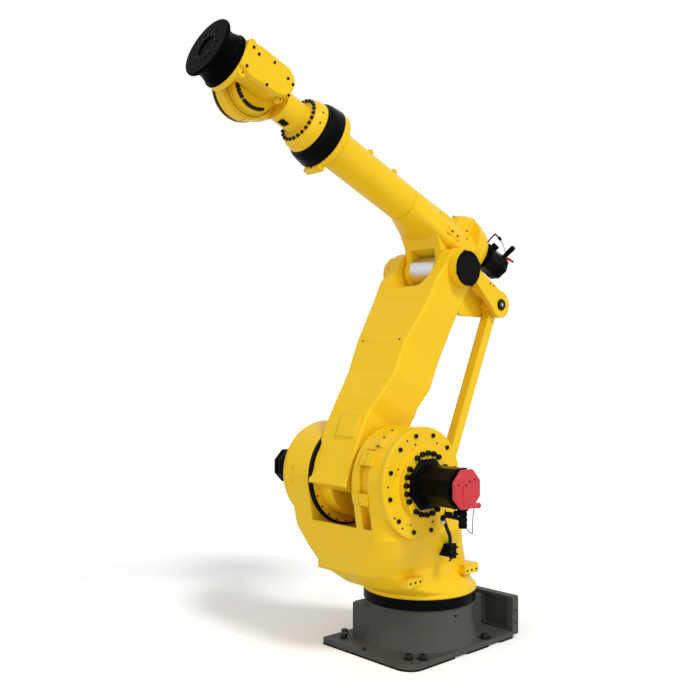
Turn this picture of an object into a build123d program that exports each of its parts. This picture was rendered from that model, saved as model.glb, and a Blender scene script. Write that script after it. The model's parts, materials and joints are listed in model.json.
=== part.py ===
from build123d import *
import os
from math import cos, sin, radians, tan

# Six-axis industrial robot arm with a parallel-link forearm drive.
# Millimetres. Origin: turning axis of the column on the floor. +X is the arm's reach, +Z is up.

# Kinematic dimensions
SHOULDER_X = 480.0          # shoulder axis ahead of the turning axis
SHOULDER_Z = 1145.0         # shoulder axis above the floor
LOWER_ARM = 1460.0          # shoulder axis to elbow axis
LOWER_LEAN = 24.1           # lean of the lower arm to the rear at rest
FOREARM_RISE = 23.3         # rise of the forearm at rest
FOREARM_LIFT = 290.0        # forearm axis above the elbow axis
FOREARM = 1745.0            # elbow axis to wrist pitch axis, along the forearm
WRIST_FACE = 362.0          # wrist pitch axis to the tool face
LINK = 523.0                # elbow axis to rod pin, and shoulder axis to crank pin

# Clearances
SEAT = 0.3                  # gap between faces that slide past each other
RUN = 0.05                  # radial clearance of a running journal
SIDE = 2.0                  # side gap of the rod in its clevis
OPEN_PIVOT = 1.0            # radial clearance at the upper rod pin, where the loop is left open

# Base
PLATE_FRONT = 515.0
PLATE_REAR = -500.0
PANEL_REAR = -562.0
PLATE_HALF = 395.0
PLATE_T = 45.0
PEDESTAL_TOP = 299.0
PEDESTAL_R = 352.0
RING_R = 374.0
RING_H = 70.0
SPIGOT_R = 250.0
SPIGOT_DEEP = 24.0
ANCHOR_R = 16.5
ANCHOR_EDGE = 43.0          # side edge of the plate to the four anchor holes
ANCHOR_FRONT = 160.0        # front edge of the plate to the front anchor holes
ANCHOR_REAR = 255.0         # rear edge of the plate to the rear anchor holes
CORNER_EDGE = 103.0         # side edge of the plate to the second pair of front holes
CORNER_FRONT = 98.0         # front edge of the plate to the second pair of front holes
FLANK_X = 338.0             # squared flank of the pedestal on the far side
FLANK_Y = 318.0
FLANK_TOP = 262.0
BOX_HALF = 130.0            # cable box between pedestal and rear panel
BOX_TOP = 255.0

# Turret
FLANGE_R = 378.0
CHEEK_IN = 200.0
CHEEK_OUT = 440.0
CHEEK_R = 330.0
REDUCER_R = 336.0
REDUCER_T = 30.0
BORE_R = 150.0
TRUNNION_R = 80.0
FAR_REDUCER_R = 316.0
CHANNEL_R = 392.0
GROOVE_IN = 258.0           # groove in the near cheek that holds the stop blocks
GROOVE_OUT = 330.0
GROOVE_DEEP = 26.0
BELLY_SIDE = 436.0          # half width of the belly under the cheeks
BELLY_WAIST = 304.0         # half width of the belly above the foot
LIP_X = 680.0               # ledge across the front of the belly
LIP_Z = 558.0
LIP_H = 58.0
LIFT_BOSS_Y = 350.0         # lifting bosses beside the foot
LIFT_BOSS_Z = 494.0
LIFT_BOSS_H = 59.0
LIFT_BOSS_L = 138.0
SLOT_IN = 44.0
SLOT_OUT = 206.0
SLOT_R = LINK + 105.0
MOTOR_R = 112.0
MOTOR_END = 790.0
CAP_T = 28.0

# Lower arm
EAR_R = 140.0
EAR_IN = 166.0
EAR_OUT = 262.0
ELBOW_R = 62.0
HOUSING_R = 124.0
COVER_Y = 337.0
COVER_R = 115.0
DISC_R = 312.0
DISC_IN = 165.0             # inner face of the far disc of the lower arm
CRANK_SPACE_R = 240.0       # round hollow in which the crank turns
SKIRT = 160.0               # front wall of the lower arm below the shoulder axis
FORK_DEPTH = 205.0          # floor of the fork below the elbow axis

# Drive link
ROD_Y = 150.0
ROD_W = 84.0
ROD_D = 68.0
ROD_BAR_W = 66.0
ROD_EYE_R = 78.0
PIN_R = 32.0
LUG_T = 36.0
CRANK_HUB_R = 185.0

# Forearm
TUBE_R = 122.0
ROOT_HALF = 158.0
SHOULDER_HALF = 230.0
ROOT_FRONT = 430.0
ROLL_BACK = -545.0          # rear face of the roll reducer, from the pitch axis
ROLL_FRONT = -430.0
ROLL_R = 198.0
ROLL_NOSE_R = 168.0
END_FLANGE_T = 48.0
NECK_FACE = -350.0
NECK_END = -178.0
ROLL_JOURNAL = 90.0

# Wrist
NECK_R = 95.0
HUB_R = 176.0
HUB_STEP_R = 152.0
WRIST_HALF = 148.0
WRIST_FAR = 190.0
HEAD_SPLIT = -40.0          # plane between the hub and the head of the wrist
PITCH_JOURNAL = 46.0
HEAD_BACK = 186.0
HEAD_RING_R = 165.0
FLANGE_BACK = 222.0
TOOL_R = 178.0
TOOL_WAIST_R = 147.0
TOOL_PCD = 200.0
TOOL_HOLE_R = 8.5
TOOL_PILOT_R = 62.5

# Lead of the near motor
LEAD_R = 11.0
PLUG_BACK = 30.0            # plug behind the shoulder axis
PLUG_R = 26.0
PLUG_L = 128.0

FLANGE_Z = PEDESTAL_TOP + RING_H + SEAT
ANCHOR_Y = PLATE_HALF - ANCHOR_EDGE
CORNER_Y = PLATE_HALF - CORNER_EDGE
FOOT_R = PLATE_HALF - 7     # flared foot of the pedestal
BOX_L = 260.0
ROD_IN = ROD_Y - ROD_W / 2
ROD_OUT = ROD_Y + ROD_W / 2
LEAN = radians(LOWER_LEAN)
RISE = radians(FOREARM_RISE)
J2 = Vector(SHOULDER_X, 0, SHOULDER_Z)
ALONG = Vector(-sin(LEAN), 0, cos(LEAN))
ACROSS = Vector(cos(LEAN), 0, sin(LEAN))
J3 = J2 + ALONG * LOWER_ARM
FORE = Vector(cos(RISE), 0, sin(RISE))
FORE_UP = Vector(-sin(RISE), 0, cos(RISE))
J5 = J3 + FORE * FOREARM + FORE_UP * FOREARM_LIFT
CRANK_PIN = J2 - ACROSS * LINK
LEVER_PIN = J3 - ACROSS * LINK


def side(y, at=Vector(0, 0, 0), x_dir=Vector(1, 0, 0)):
    """Sketch plane facing -Y at the given Y, so a positive extrusion runs towards -Y."""
    return Plane(origin=(at.X, y, at.Z), x_dir=x_dir, z_dir=(0, -1, 0))


def pivot(y):
    """Plane at the shoulder axis, level."""
    return side(y, J2)


def arm(y):
    """Plane at the shoulder axis; sketch Y runs along the lower arm."""
    return side(y, J2, ACROSS)


def fore(y):
    """Plane at the elbow axis; sketch X runs along the forearm."""
    return side(y, J3, FORE)


def wrist(y):
    """Plane at the pitch axis; sketch X runs along the forearm."""
    return side(y, J5, FORE)


def nose(x):
    """Plane square to the forearm axis, x ahead of the pitch axis; sketch X is to the left."""
    return Plane(origin=J5 + FORE * x, x_dir=(0, 1, 0), z_dir=FORE)


def level(z):
    """Horizontal plane at height z."""
    return Plane(origin=(0, 0, z), x_dir=(1, 0, 0), z_dir=(0, 0, 1))


def local(point, at, x_dir, y_dir):
    """Sketch coordinates of a point in a side plane."""
    gap = point - at
    return (gap.dot(x_dir), gap.dot(y_dir))


def save(part, name):
    part.label = name
    export_step(part, "parts/" + name + ".step")


os.makedirs("parts", exist_ok=True)

# Base: plate with flared pedestal, connector panel at the rear, seal ring of the turning bearing

with BuildPart() as base_casting:
    with BuildSketch(level(0)) as plate_sketch:
        with Locations(((PLATE_FRONT + PLATE_REAR) / 2, 0)):
            Rectangle(PLATE_FRONT - PLATE_REAR, 2 * PLATE_HALF)
        fillet(plate_sketch.vertices().group_by(Axis.X)[-1].sort_by(Axis.Y)[0], 14)
        fillet(plate_sketch.vertices().group_by(Axis.X)[-1].sort_by(Axis.Y)[-1], 110)
    extrude(amount=PLATE_T)
    with BuildSketch(level(10)) as flank:
        Polygon((PLATE_REAR + 60, -FLANK_Y), (FLANK_X, -FLANK_Y), (FLANK_X, -30), (0, 0), (PLATE_REAR + 60, 0),
                align=None)
        fillet(flank.vertices().group_by(Axis.Y)[0].sort_by(Axis.X)[-1], 45)
    extrude(amount=FLANK_TOP - 10)
    chamfer(base_casting.faces().filter_by(Axis.Z).sort_by(Axis.Z)[-1].edges(), 8)
    with BuildSketch(Plane.XZ) as flare:
        with BuildLine():
            Polyline((FOOT_R, 10), (0, 10), (0, PEDESTAL_TOP), (PEDESTAL_R, PEDESTAL_TOP), (PEDESTAL_R, 225))
            ThreePointArc((PEDESTAL_R, 225), ((PEDESTAL_R + FOOT_R) / 2 - 10, 120), (FOOT_R, PLATE_T - 4))
            Line((FOOT_R, PLATE_T - 4), (FOOT_R, 10))
        make_face()
    revolve(axis=Axis.Z)
    with BuildSketch(level(10)):
        with Locations((PLATE_REAR + BOX_L / 2, (BOX_HALF - FLANK_Y) / 2)):
            Rectangle(BOX_L, BOX_HALF + FLANK_Y)
    extrude(amount=BOX_TOP - 10)
    with BuildSketch(level(PEDESTAL_TOP)):
        Circle(SPIGOT_R + RUN)
    extrude(amount=-SPIGOT_DEEP - 1, mode=Mode.SUBTRACT)
    with BuildSketch(level(0)):
        with Locations((PLATE_FRONT - ANCHOR_FRONT, ANCHOR_Y), (PLATE_FRONT - ANCHOR_FRONT, -ANCHOR_Y),
                       (PLATE_REAR + ANCHOR_REAR, ANCHOR_Y), (PLATE_REAR + ANCHOR_REAR, -ANCHOR_Y),
                       (PLATE_FRONT - CORNER_FRONT, CORNER_Y), (PLATE_FRONT - CORNER_FRONT, -CORNER_Y)):
            Circle(ANCHOR_R)
    extrude(amount=FLANK_TOP, mode=Mode.SUBTRACT)
    with BuildSketch(side(PLATE_HALF)):
        with Locations((40, 0), (-300, 0)):
            Rectangle(120, 24)
    extrude(amount=30, mode=Mode.SUBTRACT)
    with BuildSketch(side(-PLATE_HALF + 30)):
        with Locations((40, 0), (-300, 0)):
            Rectangle(120, 24)
    extrude(amount=30, mode=Mode.SUBTRACT)
save(base_casting.part, "base_casting")

with BuildPart() as rear_panel:
    with BuildSketch(Plane(origin=(PANEL_REAR, 0, 0), x_dir=(0, 1, 0), z_dir=(1, 0, 0))) as panel:
        with Locations((0, (16 + 278) / 2)):
            Rectangle(2 * PLATE_HALF, 278 - 16)
        fillet(panel.vertices().group_by(Axis.Z)[-1], 16)
    extrude(amount=PLATE_REAR - PANEL_REAR)
    with BuildSketch(Plane(origin=(PLATE_REAR, 0, 0), x_dir=(0, 1, 0), z_dir=(1, 0, 0))):
        with Locations(((BOX_HALF + 12 + PLATE_HALF - 52) / 2, 160)):
            RectangleRounded(PLATE_HALF - BOX_HALF - 64, 196, 14)
    extrude(amount=-28, mode=Mode.SUBTRACT)
save(rear_panel.part, "rear_panel")

with BuildPart() as seal_ring:
    with BuildSketch(level(PEDESTAL_TOP)):
        Circle(RING_R)
        Circle(SPIGOT_R + 2, mode=Mode.SUBTRACT)
    extrude(amount=RING_H)
    chamfer(seal_ring.edges().filter_by(GeomType.CIRCLE).group_by(SortBy.RADIUS)[-1].group_by(Axis.Z)[0], 8)
save(seal_ring.part, "seal_ring")

# Turret: round foot, hollow belly, two cheeks with the channel of the lower arm between them

BELLY = ((398, -372, 372, 372, 371), (470, -250, 556, BELLY_WAIST - 4, 240), (580, -215, 700, BELLY_WAIST + 6, 180),
         (700, -90, 738, 378, 150), (820, 10, 762, BELLY_SIDE - 4, 110), (1000, 110, 790, BELLY_SIDE, 90),
         (SHOULDER_Z, 152, 812, BELLY_SIDE, 80))

with BuildPart() as turret_casting:
    for height, rear, front, half, corner in BELLY:
        with BuildSketch(level(height)):
            with Locations(((rear + front) / 2, 0)):
                RectangleRounded(front - rear, 2 * half, corner)
    loft(ruled=True)
    with BuildSketch(Plane.XZ):
        Polygon((0, FLANGE_Z), (FLANGE_R - 7, FLANGE_Z), (FLANGE_R, FLANGE_Z + 7), (FLANGE_R, 397), (352, 420),
                (330, 470), (240, 560), (0, 560), align=None)
    revolve(axis=Axis.Z)
    with BuildSketch(Plane(origin=J2, x_dir=(1, 0, 0), z_dir=(0, 0, 1))) as cheek:
        Polygon((0, -CHEEK_OUT), (CHEEK_R - 12, -CHEEK_OUT), (CHEEK_R, -CHEEK_OUT + 14), (CHEEK_R, CHEEK_OUT),
                (0, CHEEK_OUT), align=None)
    revolve(axis=Axis(J2, (0, 1, 0)))
    with BuildSketch(level(LIP_Z)):
        Polygon((300, -250), (LIP_X, -250), (LIP_X, 20), (300, 20), align=None)
    extrude(amount=LIP_H)
    with BuildSketch(level(LIFT_BOSS_Z)):
        for edge in (LIFT_BOSS_Y, -LIFT_BOSS_Y):
            with Locations((420, edge * 0.8), (-120, edge * 0.8)):
                Rectangle(LIFT_BOSS_L, abs(edge) * 0.4)
    extrude(amount=LIFT_BOSS_H)
    with BuildSketch(level(FLANGE_Z)):
        Circle(SPIGOT_R)
    extrude(amount=-SPIGOT_DEEP - RING_H)
    with BuildSketch(side(CHEEK_IN)) as channel:
        with Locations((SHOULDER_X, SHOULDER_Z)):
            Circle(CHANNEL_R)
        with Locations((SHOULDER_X, SHOULDER_Z + CHANNEL_R / 2)):
            Rectangle(3 * CHANNEL_R, CHANNEL_R)
    extrude(amount=2 * CHEEK_IN, mode=Mode.SUBTRACT)
    with BuildSketch(pivot(SLOT_OUT)) as slot:
        Circle(SLOT_R)
        Polygon((0, 0), (-700, 260), (-900, -300), (-700, -800), (-24, -800), (80, -640), (76, 0), align=None,
                mode=Mode.INTERSECT)
    extrude(amount=SLOT_OUT - SLOT_IN, mode=Mode.SUBTRACT)
    with BuildSketch(pivot(GROOVE_OUT)) as groove:
        Circle(CHEEK_R + 60)
        Circle(CHEEK_R - GROOVE_DEEP, mode=Mode.SUBTRACT)
        Polygon((0, 0), (700, 560), (700, -700), (520, -700), align=None, mode=Mode.INTERSECT)
    extrude(amount=GROOVE_OUT - GROOVE_IN, mode=Mode.SUBTRACT)
    with BuildSketch(pivot(GROOVE_OUT + 40)) as guard:
        Circle(CHEEK_R + 12)
        Circle(CHEEK_R - 30, mode=Mode.SUBTRACT)
        Polygon((0, 0), (500, 450), (160, 500), align=None, mode=Mode.INTERSECT)
    extrude(amount=46)
    with BuildSketch(pivot(CHEEK_OUT)):
        Circle(BORE_R)
    extrude(amount=2 * CHEEK_OUT, mode=Mode.SUBTRACT)
save(turret_casting.part, "turret_casting")

with BuildPart() as near_reducer:
    with BuildSketch(pivot(CHEEK_OUT + REDUCER_T)):
        Circle(REDUCER_R)
    extrude(amount=REDUCER_T)
    fillet(near_reducer.edges().filter_by(GeomType.CIRCLE).sort_by(Axis.Y)[-1], 6)
    with BuildSketch(pivot(CHEEK_OUT)):
        Circle(BORE_R - 0.5)
    extrude(amount=CHEEK_OUT - CHEEK_IN)
    with BuildSketch(pivot(CHEEK_OUT + REDUCER_T + 26)):
        Circle(205)
    extrude(amount=26)
    with BuildSketch(pivot(CHEEK_IN + 100)):
        Circle(TRUNNION_R + RUN)
    extrude(amount=100, mode=Mode.SUBTRACT)
save(near_reducer.part, "near_reducer")

with BuildPart() as far_reducer:
    with BuildSketch(pivot(-CHEEK_OUT)):
        Circle(FAR_REDUCER_R)
    extrude(amount=REDUCER_T)
    chamfer(far_reducer.edges().filter_by(GeomType.CIRCLE).sort_by(Axis.Y)[0], 10)
    with BuildSketch(pivot(-CHEEK_IN)):
        Circle(BORE_R - 0.5)
    extrude(amount=CHEEK_OUT - CHEEK_IN)
    with BuildSketch(pivot(-CHEEK_OUT - REDUCER_T)):
        Circle(205)
    extrude(amount=26)
    with BuildSketch(pivot(-CHEEK_IN)):
        Circle(TRUNNION_R + RUN)
    extrude(amount=100, mode=Mode.SUBTRACT)
save(far_reducer.part, "far_reducer")

BOSS_Y = CHEEK_OUT + REDUCER_T + 26
PLUG_AT = Vector(SHOULDER_X - PLUG_BACK, MOTOR_END - 42, SHOULDER_Z - MOTOR_R - PLUG_L + 38)


def octagon(radius):
    return RegularPolygon(radius, 8, rotation=22.5)


with BuildPart() as near_motor:
    with BuildSketch(pivot(MOTOR_END)) as body:
        octagon(MOTOR_R)
    extrude(amount=MOTOR_END - BOSS_Y)
    with BuildSketch(pivot(BOSS_Y + 22)):
        Circle(128)
    extrude(amount=22)
save(near_motor.part, "near_motor")

with BuildPart() as near_motor_cap:
    with BuildSketch(pivot(MOTOR_END + CAP_T)) as cap:
        octagon(MOTOR_R + 8)
    extrude(amount=CAP_T)
    chamfer(near_motor_cap.faces().sort_by(Axis.Y)[-1].edges(), 6)
save(near_motor_cap.part, "near_motor_cap")

with BuildPart() as near_motor_plug:
    with BuildSketch(Plane(origin=(PLUG_AT.X, PLUG_AT.Y, SHOULDER_Z - MOTOR_R * cos(radians(22.5))),
                           z_dir=(0, 0, -1))):
        Circle(PLUG_R)
    extrude(amount=PLUG_L)
save(near_motor_plug.part, "near_motor_plug")

with BuildPart() as far_motor:
    with BuildSketch(pivot(-BOSS_Y)):
        octagon(MOTOR_R)
    extrude(amount=MOTOR_END - BOSS_Y)
    with BuildSketch(pivot(-BOSS_Y)):
        Circle(128)
    extrude(amount=22)
save(far_motor.part, "far_motor")

with BuildPart() as far_motor_cap:
    with BuildSketch(pivot(-MOTOR_END)):
        octagon(MOTOR_R + 8)
    extrude(amount=CAP_T)
    chamfer(far_motor_cap.faces().sort_by(Axis.Y)[0].edges(), 6)
save(far_motor_cap.part, "far_motor_cap")

for label, angle, spread, inner, outer in (("upper", 28.0, 8.0, 258.0, 362.0), ("lower", -14.0, 6.0, 212.0, 332.0)):
    with BuildPart() as stop:
        with BuildSketch(pivot(outer)):
            Circle(CHEEK_R + 18)
            Circle(CHEEK_R + SEAT, mode=Mode.SUBTRACT)
            Polygon((0, 0), (500 * cos(radians(angle - spread)), 500 * sin(radians(angle - spread))),
                    (500 * cos(radians(angle + spread)), 500 * sin(radians(angle + spread))), align=None,
                    mode=Mode.INTERSECT)
        extrude(amount=outer - inner)
        add(turret_casting.part, mode=Mode.SUBTRACT)
    save(stop.part, label + "_stop_block")

# Lower arm: one casting, forked at the elbow, open on one side at the shoulder where the crank turns

with BuildPart() as lower_arm:
    with BuildSketch(arm(EAR_OUT)) as beam:
        with BuildLine():
            Polyline((301, -SKIRT), (308, 60), (309, 220), (286, 0.295 * LOWER_ARM), (247, 0.418 * LOWER_ARM),
                     (240, 0.568 * LOWER_ARM), (184, LOWER_ARM - 310), (180, LOWER_ARM - 160),
                     (138, LOWER_ARM - 22), (0, LOWER_ARM), (-138, LOWER_ARM - 22), (-118, LOWER_ARM - 130),
                     (-99, LOWER_ARM - 330), (-98, 0.442 * LOWER_ARM), (-54, 0.336 * LOWER_ARM),
                     (-66, 0.251 * LOWER_ARM), (-55, 0.251 * LOWER_ARM - 76.46), (0, 150), (150, -SKIRT), close=True)
        make_face()
        bends = beam.vertices().filter_by(lambda v: 200 < v.Y < LOWER_ARM - 100)
        fillet(bends.filter_by(lambda v: v.X > 150 or v.X < -60), 90)
        with Locations((0, LOWER_ARM)):
            Circle(EAR_R)
    extrude(amount=2 * EAR_OUT)
    with BuildSketch(Plane(origin=J2 - ACROSS * 500, x_dir=(0, 1, 0), z_dir=ACROSS)) as front:
        Polygon((150, -400), (150, 330), (188, 0.298 * LOWER_ARM), (212, 0.411 * LOWER_ARM),
                (212, 0.568 * LOWER_ARM), (246, LOWER_ARM - 330), (EAR_OUT, LOWER_ARM - 130),
                (EAR_OUT, LOWER_ARM + 240), (-EAR_OUT, LOWER_ARM + 240), (-EAR_OUT, LOWER_ARM - 330),
                (-230, 0.568 * LOWER_ARM), (-212, 0.411 * LOWER_ARM), (-192, 0.298 * LOWER_ARM), (-192, -400),
                align=None)
        fillet(front.vertices().filter_by(lambda v: 200 < v.Y < LOWER_ARM + 100), 120)
    extrude(amount=1000, mode=Mode.INTERSECT)
    face_edges = lower_arm.edges().filter_by(lambda e: abs(e.tangent_at(0.5).Y) < 0.5)
    face_edges = face_edges.filter_by(lambda e: (e.center() - J2).dot(ACROSS) > 150)
    fillet(face_edges.filter_by(lambda e: 80 < (e.center() - J2).dot(ALONG) < LOWER_ARM - 180), 14)
    with BuildSketch(arm(104)):
        Polygon((290, 138), (318, 148), (318, 288), (290, 298), align=None)
    extrude(amount=160)
    with BuildSketch(arm(-60)):
        Circle(265)
    extrude(amount=DISC_IN - 60)
    with BuildSketch(arm(-DISC_IN)):
        Circle(DISC_R)
    extrude(amount=CHEEK_IN - DISC_IN - 6)
    with BuildSketch(arm(-CHEEK_IN + 6)):
        Circle(TRUNNION_R + 40)
    extrude(amount=6 - SEAT)
    with BuildSketch(arm(-CHEEK_IN + 6)):
        Circle(TRUNNION_R)
    extrude(amount=96)
    with BuildSketch(arm(300)):
        Circle(CRANK_SPACE_R)
    extrude(amount=360, mode=Mode.SUBTRACT)
    with BuildSketch(Plane(origin=J2 - ACROSS * 500, x_dir=(0, 1, 0), z_dir=ACROSS)) as gap:
        with Locations((0, LOWER_ARM - FORK_DEPTH + 300)):
            Rectangle(2 * EAR_IN, 600)
        fillet(gap.vertices().group_by(Axis.Y)[0].sort_by(Axis.X)[0], 28)
        fillet(gap.vertices().group_by(Axis.Y)[0].sort_by(Axis.X)[-1], 90)
    extrude(amount=1000, mode=Mode.SUBTRACT)
    with BuildSketch(arm(EAR_OUT)):
        with Locations((0, LOWER_ARM)):
            Circle(ELBOW_R + RUN)
    extrude(amount=2 * EAR_OUT, mode=Mode.SUBTRACT)
save(lower_arm.part, "lower_arm_casting")

for label, start, face in (("near", EAR_OUT, COVER_Y), ("far", -EAR_OUT, -COVER_Y)):
    low = min(start, face)
    high = max(start, face)
    outer = high if start > 0 else low + 14
    with BuildPart() as housing:
        with BuildSketch(fore(high if start < 0 else high - 14)):
            Circle(HOUSING_R)
        extrude(amount=high - low - 14)
        with BuildSketch(fore(high)):
            Circle(ELBOW_R + 1)
        extrude(amount=high - low, mode=Mode.SUBTRACT)
    save(housing.part, label + "_elbow_housing")
    with BuildPart() as cover:
        with BuildSketch(fore(outer)):
            Circle(COVER_R)
        extrude(amount=14)
        chamfer(cover.faces().sort_by(Axis.Y)[-1 if start > 0 else 0].edges(), 4)
    save(cover.part, label + "_elbow_cover")

# Parallel link: crank on the shoulder axis, rod, and the open upper pin carried by the forearm

with BuildPart() as link_crank:
    with BuildSketch(arm(ROD_IN - SIDE)) as web:
        Circle(150)
        with Locations((-LINK, 0)):
            Circle(ROD_EYE_R + 10)
        Polygon((-20, 148), (-LINK - 10, 87), (-LINK - 10, -87), (-20, -148), align=None)
    extrude(amount=LUG_T)
    with BuildSketch(arm(CHEEK_IN - SEAT)):
        Circle(CRANK_HUB_R)
    extrude(amount=CHEEK_IN - SEAT - ROD_IN + SIDE + LUG_T)
    with BuildSketch(arm(CHEEK_IN + 96)):
        Circle(TRUNNION_R)
    extrude(amount=97)
    with BuildSketch(arm(ROD_IN)):
        with Locations((-LINK, 0)):
            Circle(PIN_R)
    extrude(amount=LUG_T + 10, mode=Mode.SUBTRACT)
save(link_crank.part, "link_crank")

with BuildPart() as crank_pin:
    with BuildSketch(arm(ROD_OUT + SIDE)):
        with Locations((-LINK, 0)):
            Circle(PIN_R)
    extrude(amount=ROD_W + 2 * SIDE + LUG_T)
    with BuildSketch(arm(ROD_OUT + SIDE + 5)):
        with Locations((-LINK, 0)):
            Circle(PIN_R + 12)
    extrude(amount=5)
save(crank_pin.part, "crank_pin")

with BuildPart() as link_rod:
    with BuildSketch(arm(ROD_OUT)) as rod_shape:
        with Locations((-LINK, 0), (-LINK, LOWER_ARM)):
            Circle(ROD_EYE_R)
    extrude(amount=ROD_W)
    with BuildSketch(arm(ROD_Y + ROD_BAR_W / 2)):
        with Locations((-LINK + 4, LOWER_ARM / 2)):
            Rectangle(ROD_D, LOWER_ARM)
    extrude(amount=ROD_BAR_W)
    with BuildSketch(arm(ROD_OUT)):
        with Locations((-LINK, 0)):
            Circle(PIN_R + RUN)
        with Locations((-LINK, LOWER_ARM)):
            Circle(PIN_R + OPEN_PIVOT)
    extrude(amount=ROD_W, mode=Mode.SUBTRACT)
save(link_rod.part, "link_rod")

# Forearm: root casting on the elbow shaft with the lever of the parallel link, tube, roll reducer

PIN_AT = local(LEVER_PIN, J3, FORE, FORE_UP)
ROOT_BOX = 90.0             # front of the boxed part of the root, from the elbow axis
BOX_OUTLINE = ((-SHOULDER_HALF + 22, -150), (SHOULDER_HALF - 22, -150), (SHOULDER_HALF - 22, -34),
               (96, 96), (-96, 96), (-SHOULDER_HALF + 22, -34))
GEAR_R = 214.0              # largest flange of the gear housing behind the root
GEAR_END = -296.0

with BuildPart() as forearm_root:
    with BuildSketch(nose(ROOT_FRONT - FOREARM)) as ring_end:
        Circle(TUBE_R)
    with BuildSketch(nose(ROOT_BOX - FOREARM)) as box_end:
        Polygon(*BOX_OUTLINE, align=None)
        fillet(box_end.vertices(), 42)
    loft()
    with BuildSketch(nose(ROOT_BOX - FOREARM)) as block:
        Polygon(*BOX_OUTLINE, align=None)
        fillet(block.vertices(), 42)
    extrude(amount=-ROOT_BOX - 150)
    with BuildSketch(fore(130)) as crown:
        Polygon((20, FOREARM_LIFT), (20, FOREARM_LIFT + 118), (-20, FOREARM_LIFT + 140), (-128, FOREARM_LIFT + 182),
                (-150, FOREARM_LIFT + 182), (-150, FOREARM_LIFT), align=None)
    extrude(amount=260)
    with BuildSketch(fore(ROOT_HALF)) as leg:
        Circle(96)
        Polygon((75, -5), (140, 112), (215, 175), (215, 330), (-150, 330), (-150, 100), (-90, 0), align=None)
    extrude(amount=2 * ROOT_HALF)
    with BuildSketch(fore(108)) as arch:
        Circle(104)
        Polygon((0, -104), (300, -104), (300, 60), (120, 104), (0, 104), align=None)
    extrude(amount=216, mode=Mode.SUBTRACT)
    with BuildSketch(fore(ROD_OUT + SIDE + LUG_T)) as lug:
        with Locations(PIN_AT):
            Circle(92)
        Polygon((PIN_AT[0] - 6, PIN_AT[1] - 91), (-250, 2), (-150, 60), (-110, 160), (-149, 200), (-215, 112),
                (PIN_AT[0] + 30, PIN_AT[1] + 86), align=None)
    extrude(amount=LUG_T)
    with BuildSketch(fore(ROD_IN - SIDE)) as lug2:
        with Locations(PIN_AT):
            Circle(92)
        Polygon((PIN_AT[0] - 6, PIN_AT[1] - 91), (PIN_AT[0] + 118, -146), (-322, -184), (-272, -196), (-244, -150),
                (-170, 20), (-110, 160), (-149, 200), (-215, 112), (PIN_AT[0] + 30, PIN_AT[1] + 86), align=None)
    extrude(amount=LUG_T)
    with BuildSketch(fore(ROD_OUT + SIDE + 1)) as web:
        Polygon((-300, 20), (-185, 60), (-120, 200), (-149, 200), (-215, 112), (-300, 100), align=None)
    extrude(amount=ROD_W + 2 * SIDE + 2)
    with BuildSketch(nose(-150 - FOREARM)):
        Circle(GEAR_R + SEAT)
    extrude(amount=-160, mode=Mode.SUBTRACT)
    with BuildSketch(fore(EAR_OUT)):
        Circle(ELBOW_R + 0.5)
    extrude(amount=2 * EAR_OUT, mode=Mode.SUBTRACT)
    with BuildSketch(fore(EAR_OUT)):
        with Locations(PIN_AT):
            Circle(PIN_R)
    extrude(amount=EAR_OUT, mode=Mode.SUBTRACT)
save(forearm_root.part, "forearm_root")

with BuildPart() as elbow_shaft:
    with BuildSketch(fore(COVER_Y - 20)):
        Circle(ELBOW_R)
    extrude(amount=2 * COVER_Y - 40)
save(elbow_shaft.part, "elbow_shaft")

with BuildPart() as elbow_sleeve:
    with BuildSketch(fore(107.5)):
        Circle(98)
        Circle(ELBOW_R + 0.3, mode=Mode.SUBTRACT)
    extrude(amount=215)
save(elbow_sleeve.part, "elbow_sleeve")

with BuildPart() as lever_pin:
    with BuildSketch(fore(ROD_OUT + SIDE + LUG_T)):
        with Locations(PIN_AT):
            Circle(PIN_R)
    extrude(amount=ROD_W + 2 * SIDE + 2 * LUG_T)
    with BuildSketch(fore(ROD_OUT + SIDE + LUG_T + 8)):
        with Locations(PIN_AT):
            Circle(PIN_R + 8)
    extrude(amount=8)
save(lever_pin.part, "lever_pin")

with BuildPart() as forearm_tube:
    with BuildSketch(nose(ROOT_FRONT - FOREARM)):
        Circle(TUBE_R)
    extrude(amount=ROLL_BACK - ROOT_FRONT + FOREARM)
    with BuildSketch(nose(ROLL_BACK)):
        Circle(ROLL_R - 4)
    extrude(amount=-END_FLANGE_T)
    chamfer(forearm_tube.faces().sort_by(lambda f: (f.center() - J5).dot(FORE))[0].edges(), 4)
save(forearm_tube.part, "forearm_tube")

with BuildPart() as roll_reducer:
    with BuildSketch(Plane(origin=J5, x_dir=FORE, z_dir=(0, -1, 0))):
        Polygon((ROLL_BACK, 0), (ROLL_BACK, ROLL_R), (ROLL_BACK + 68, ROLL_R - 9), (ROLL_FRONT - 26, ROLL_NOSE_R + 14),
                (ROLL_FRONT - 16, ROLL_NOSE_R), (ROLL_FRONT, ROLL_NOSE_R), (ROLL_FRONT, 0), align=None)
    revolve(axis=Axis(J5, FORE))
    with BuildSketch(nose(ROLL_FRONT)):
        Circle(ROLL_JOURNAL + RUN)
    extrude(amount=-70, mode=Mode.SUBTRACT)
save(roll_reducer.part, "roll_reducer")

with BuildPart() as gear_housing:
    with BuildSketch(Plane(origin=J3 + FORE_UP * FOREARM_LIFT, x_dir=FORE, z_dir=(0, -1, 0))):
        Polygon((-150, 0), (-150, GEAR_R), (-196, GEAR_R), (-200, GEAR_R - 12), (-252, GEAR_R - 12),
                (-256, GEAR_R - 26), (GEAR_END + 8, GEAR_R - 26), (GEAR_END, GEAR_R - 34), (GEAR_END, 0), align=None)
    revolve(axis=Axis(J3 + FORE_UP * FOREARM_LIFT, FORE))
save(gear_housing.part, "gear_housing")

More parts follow.
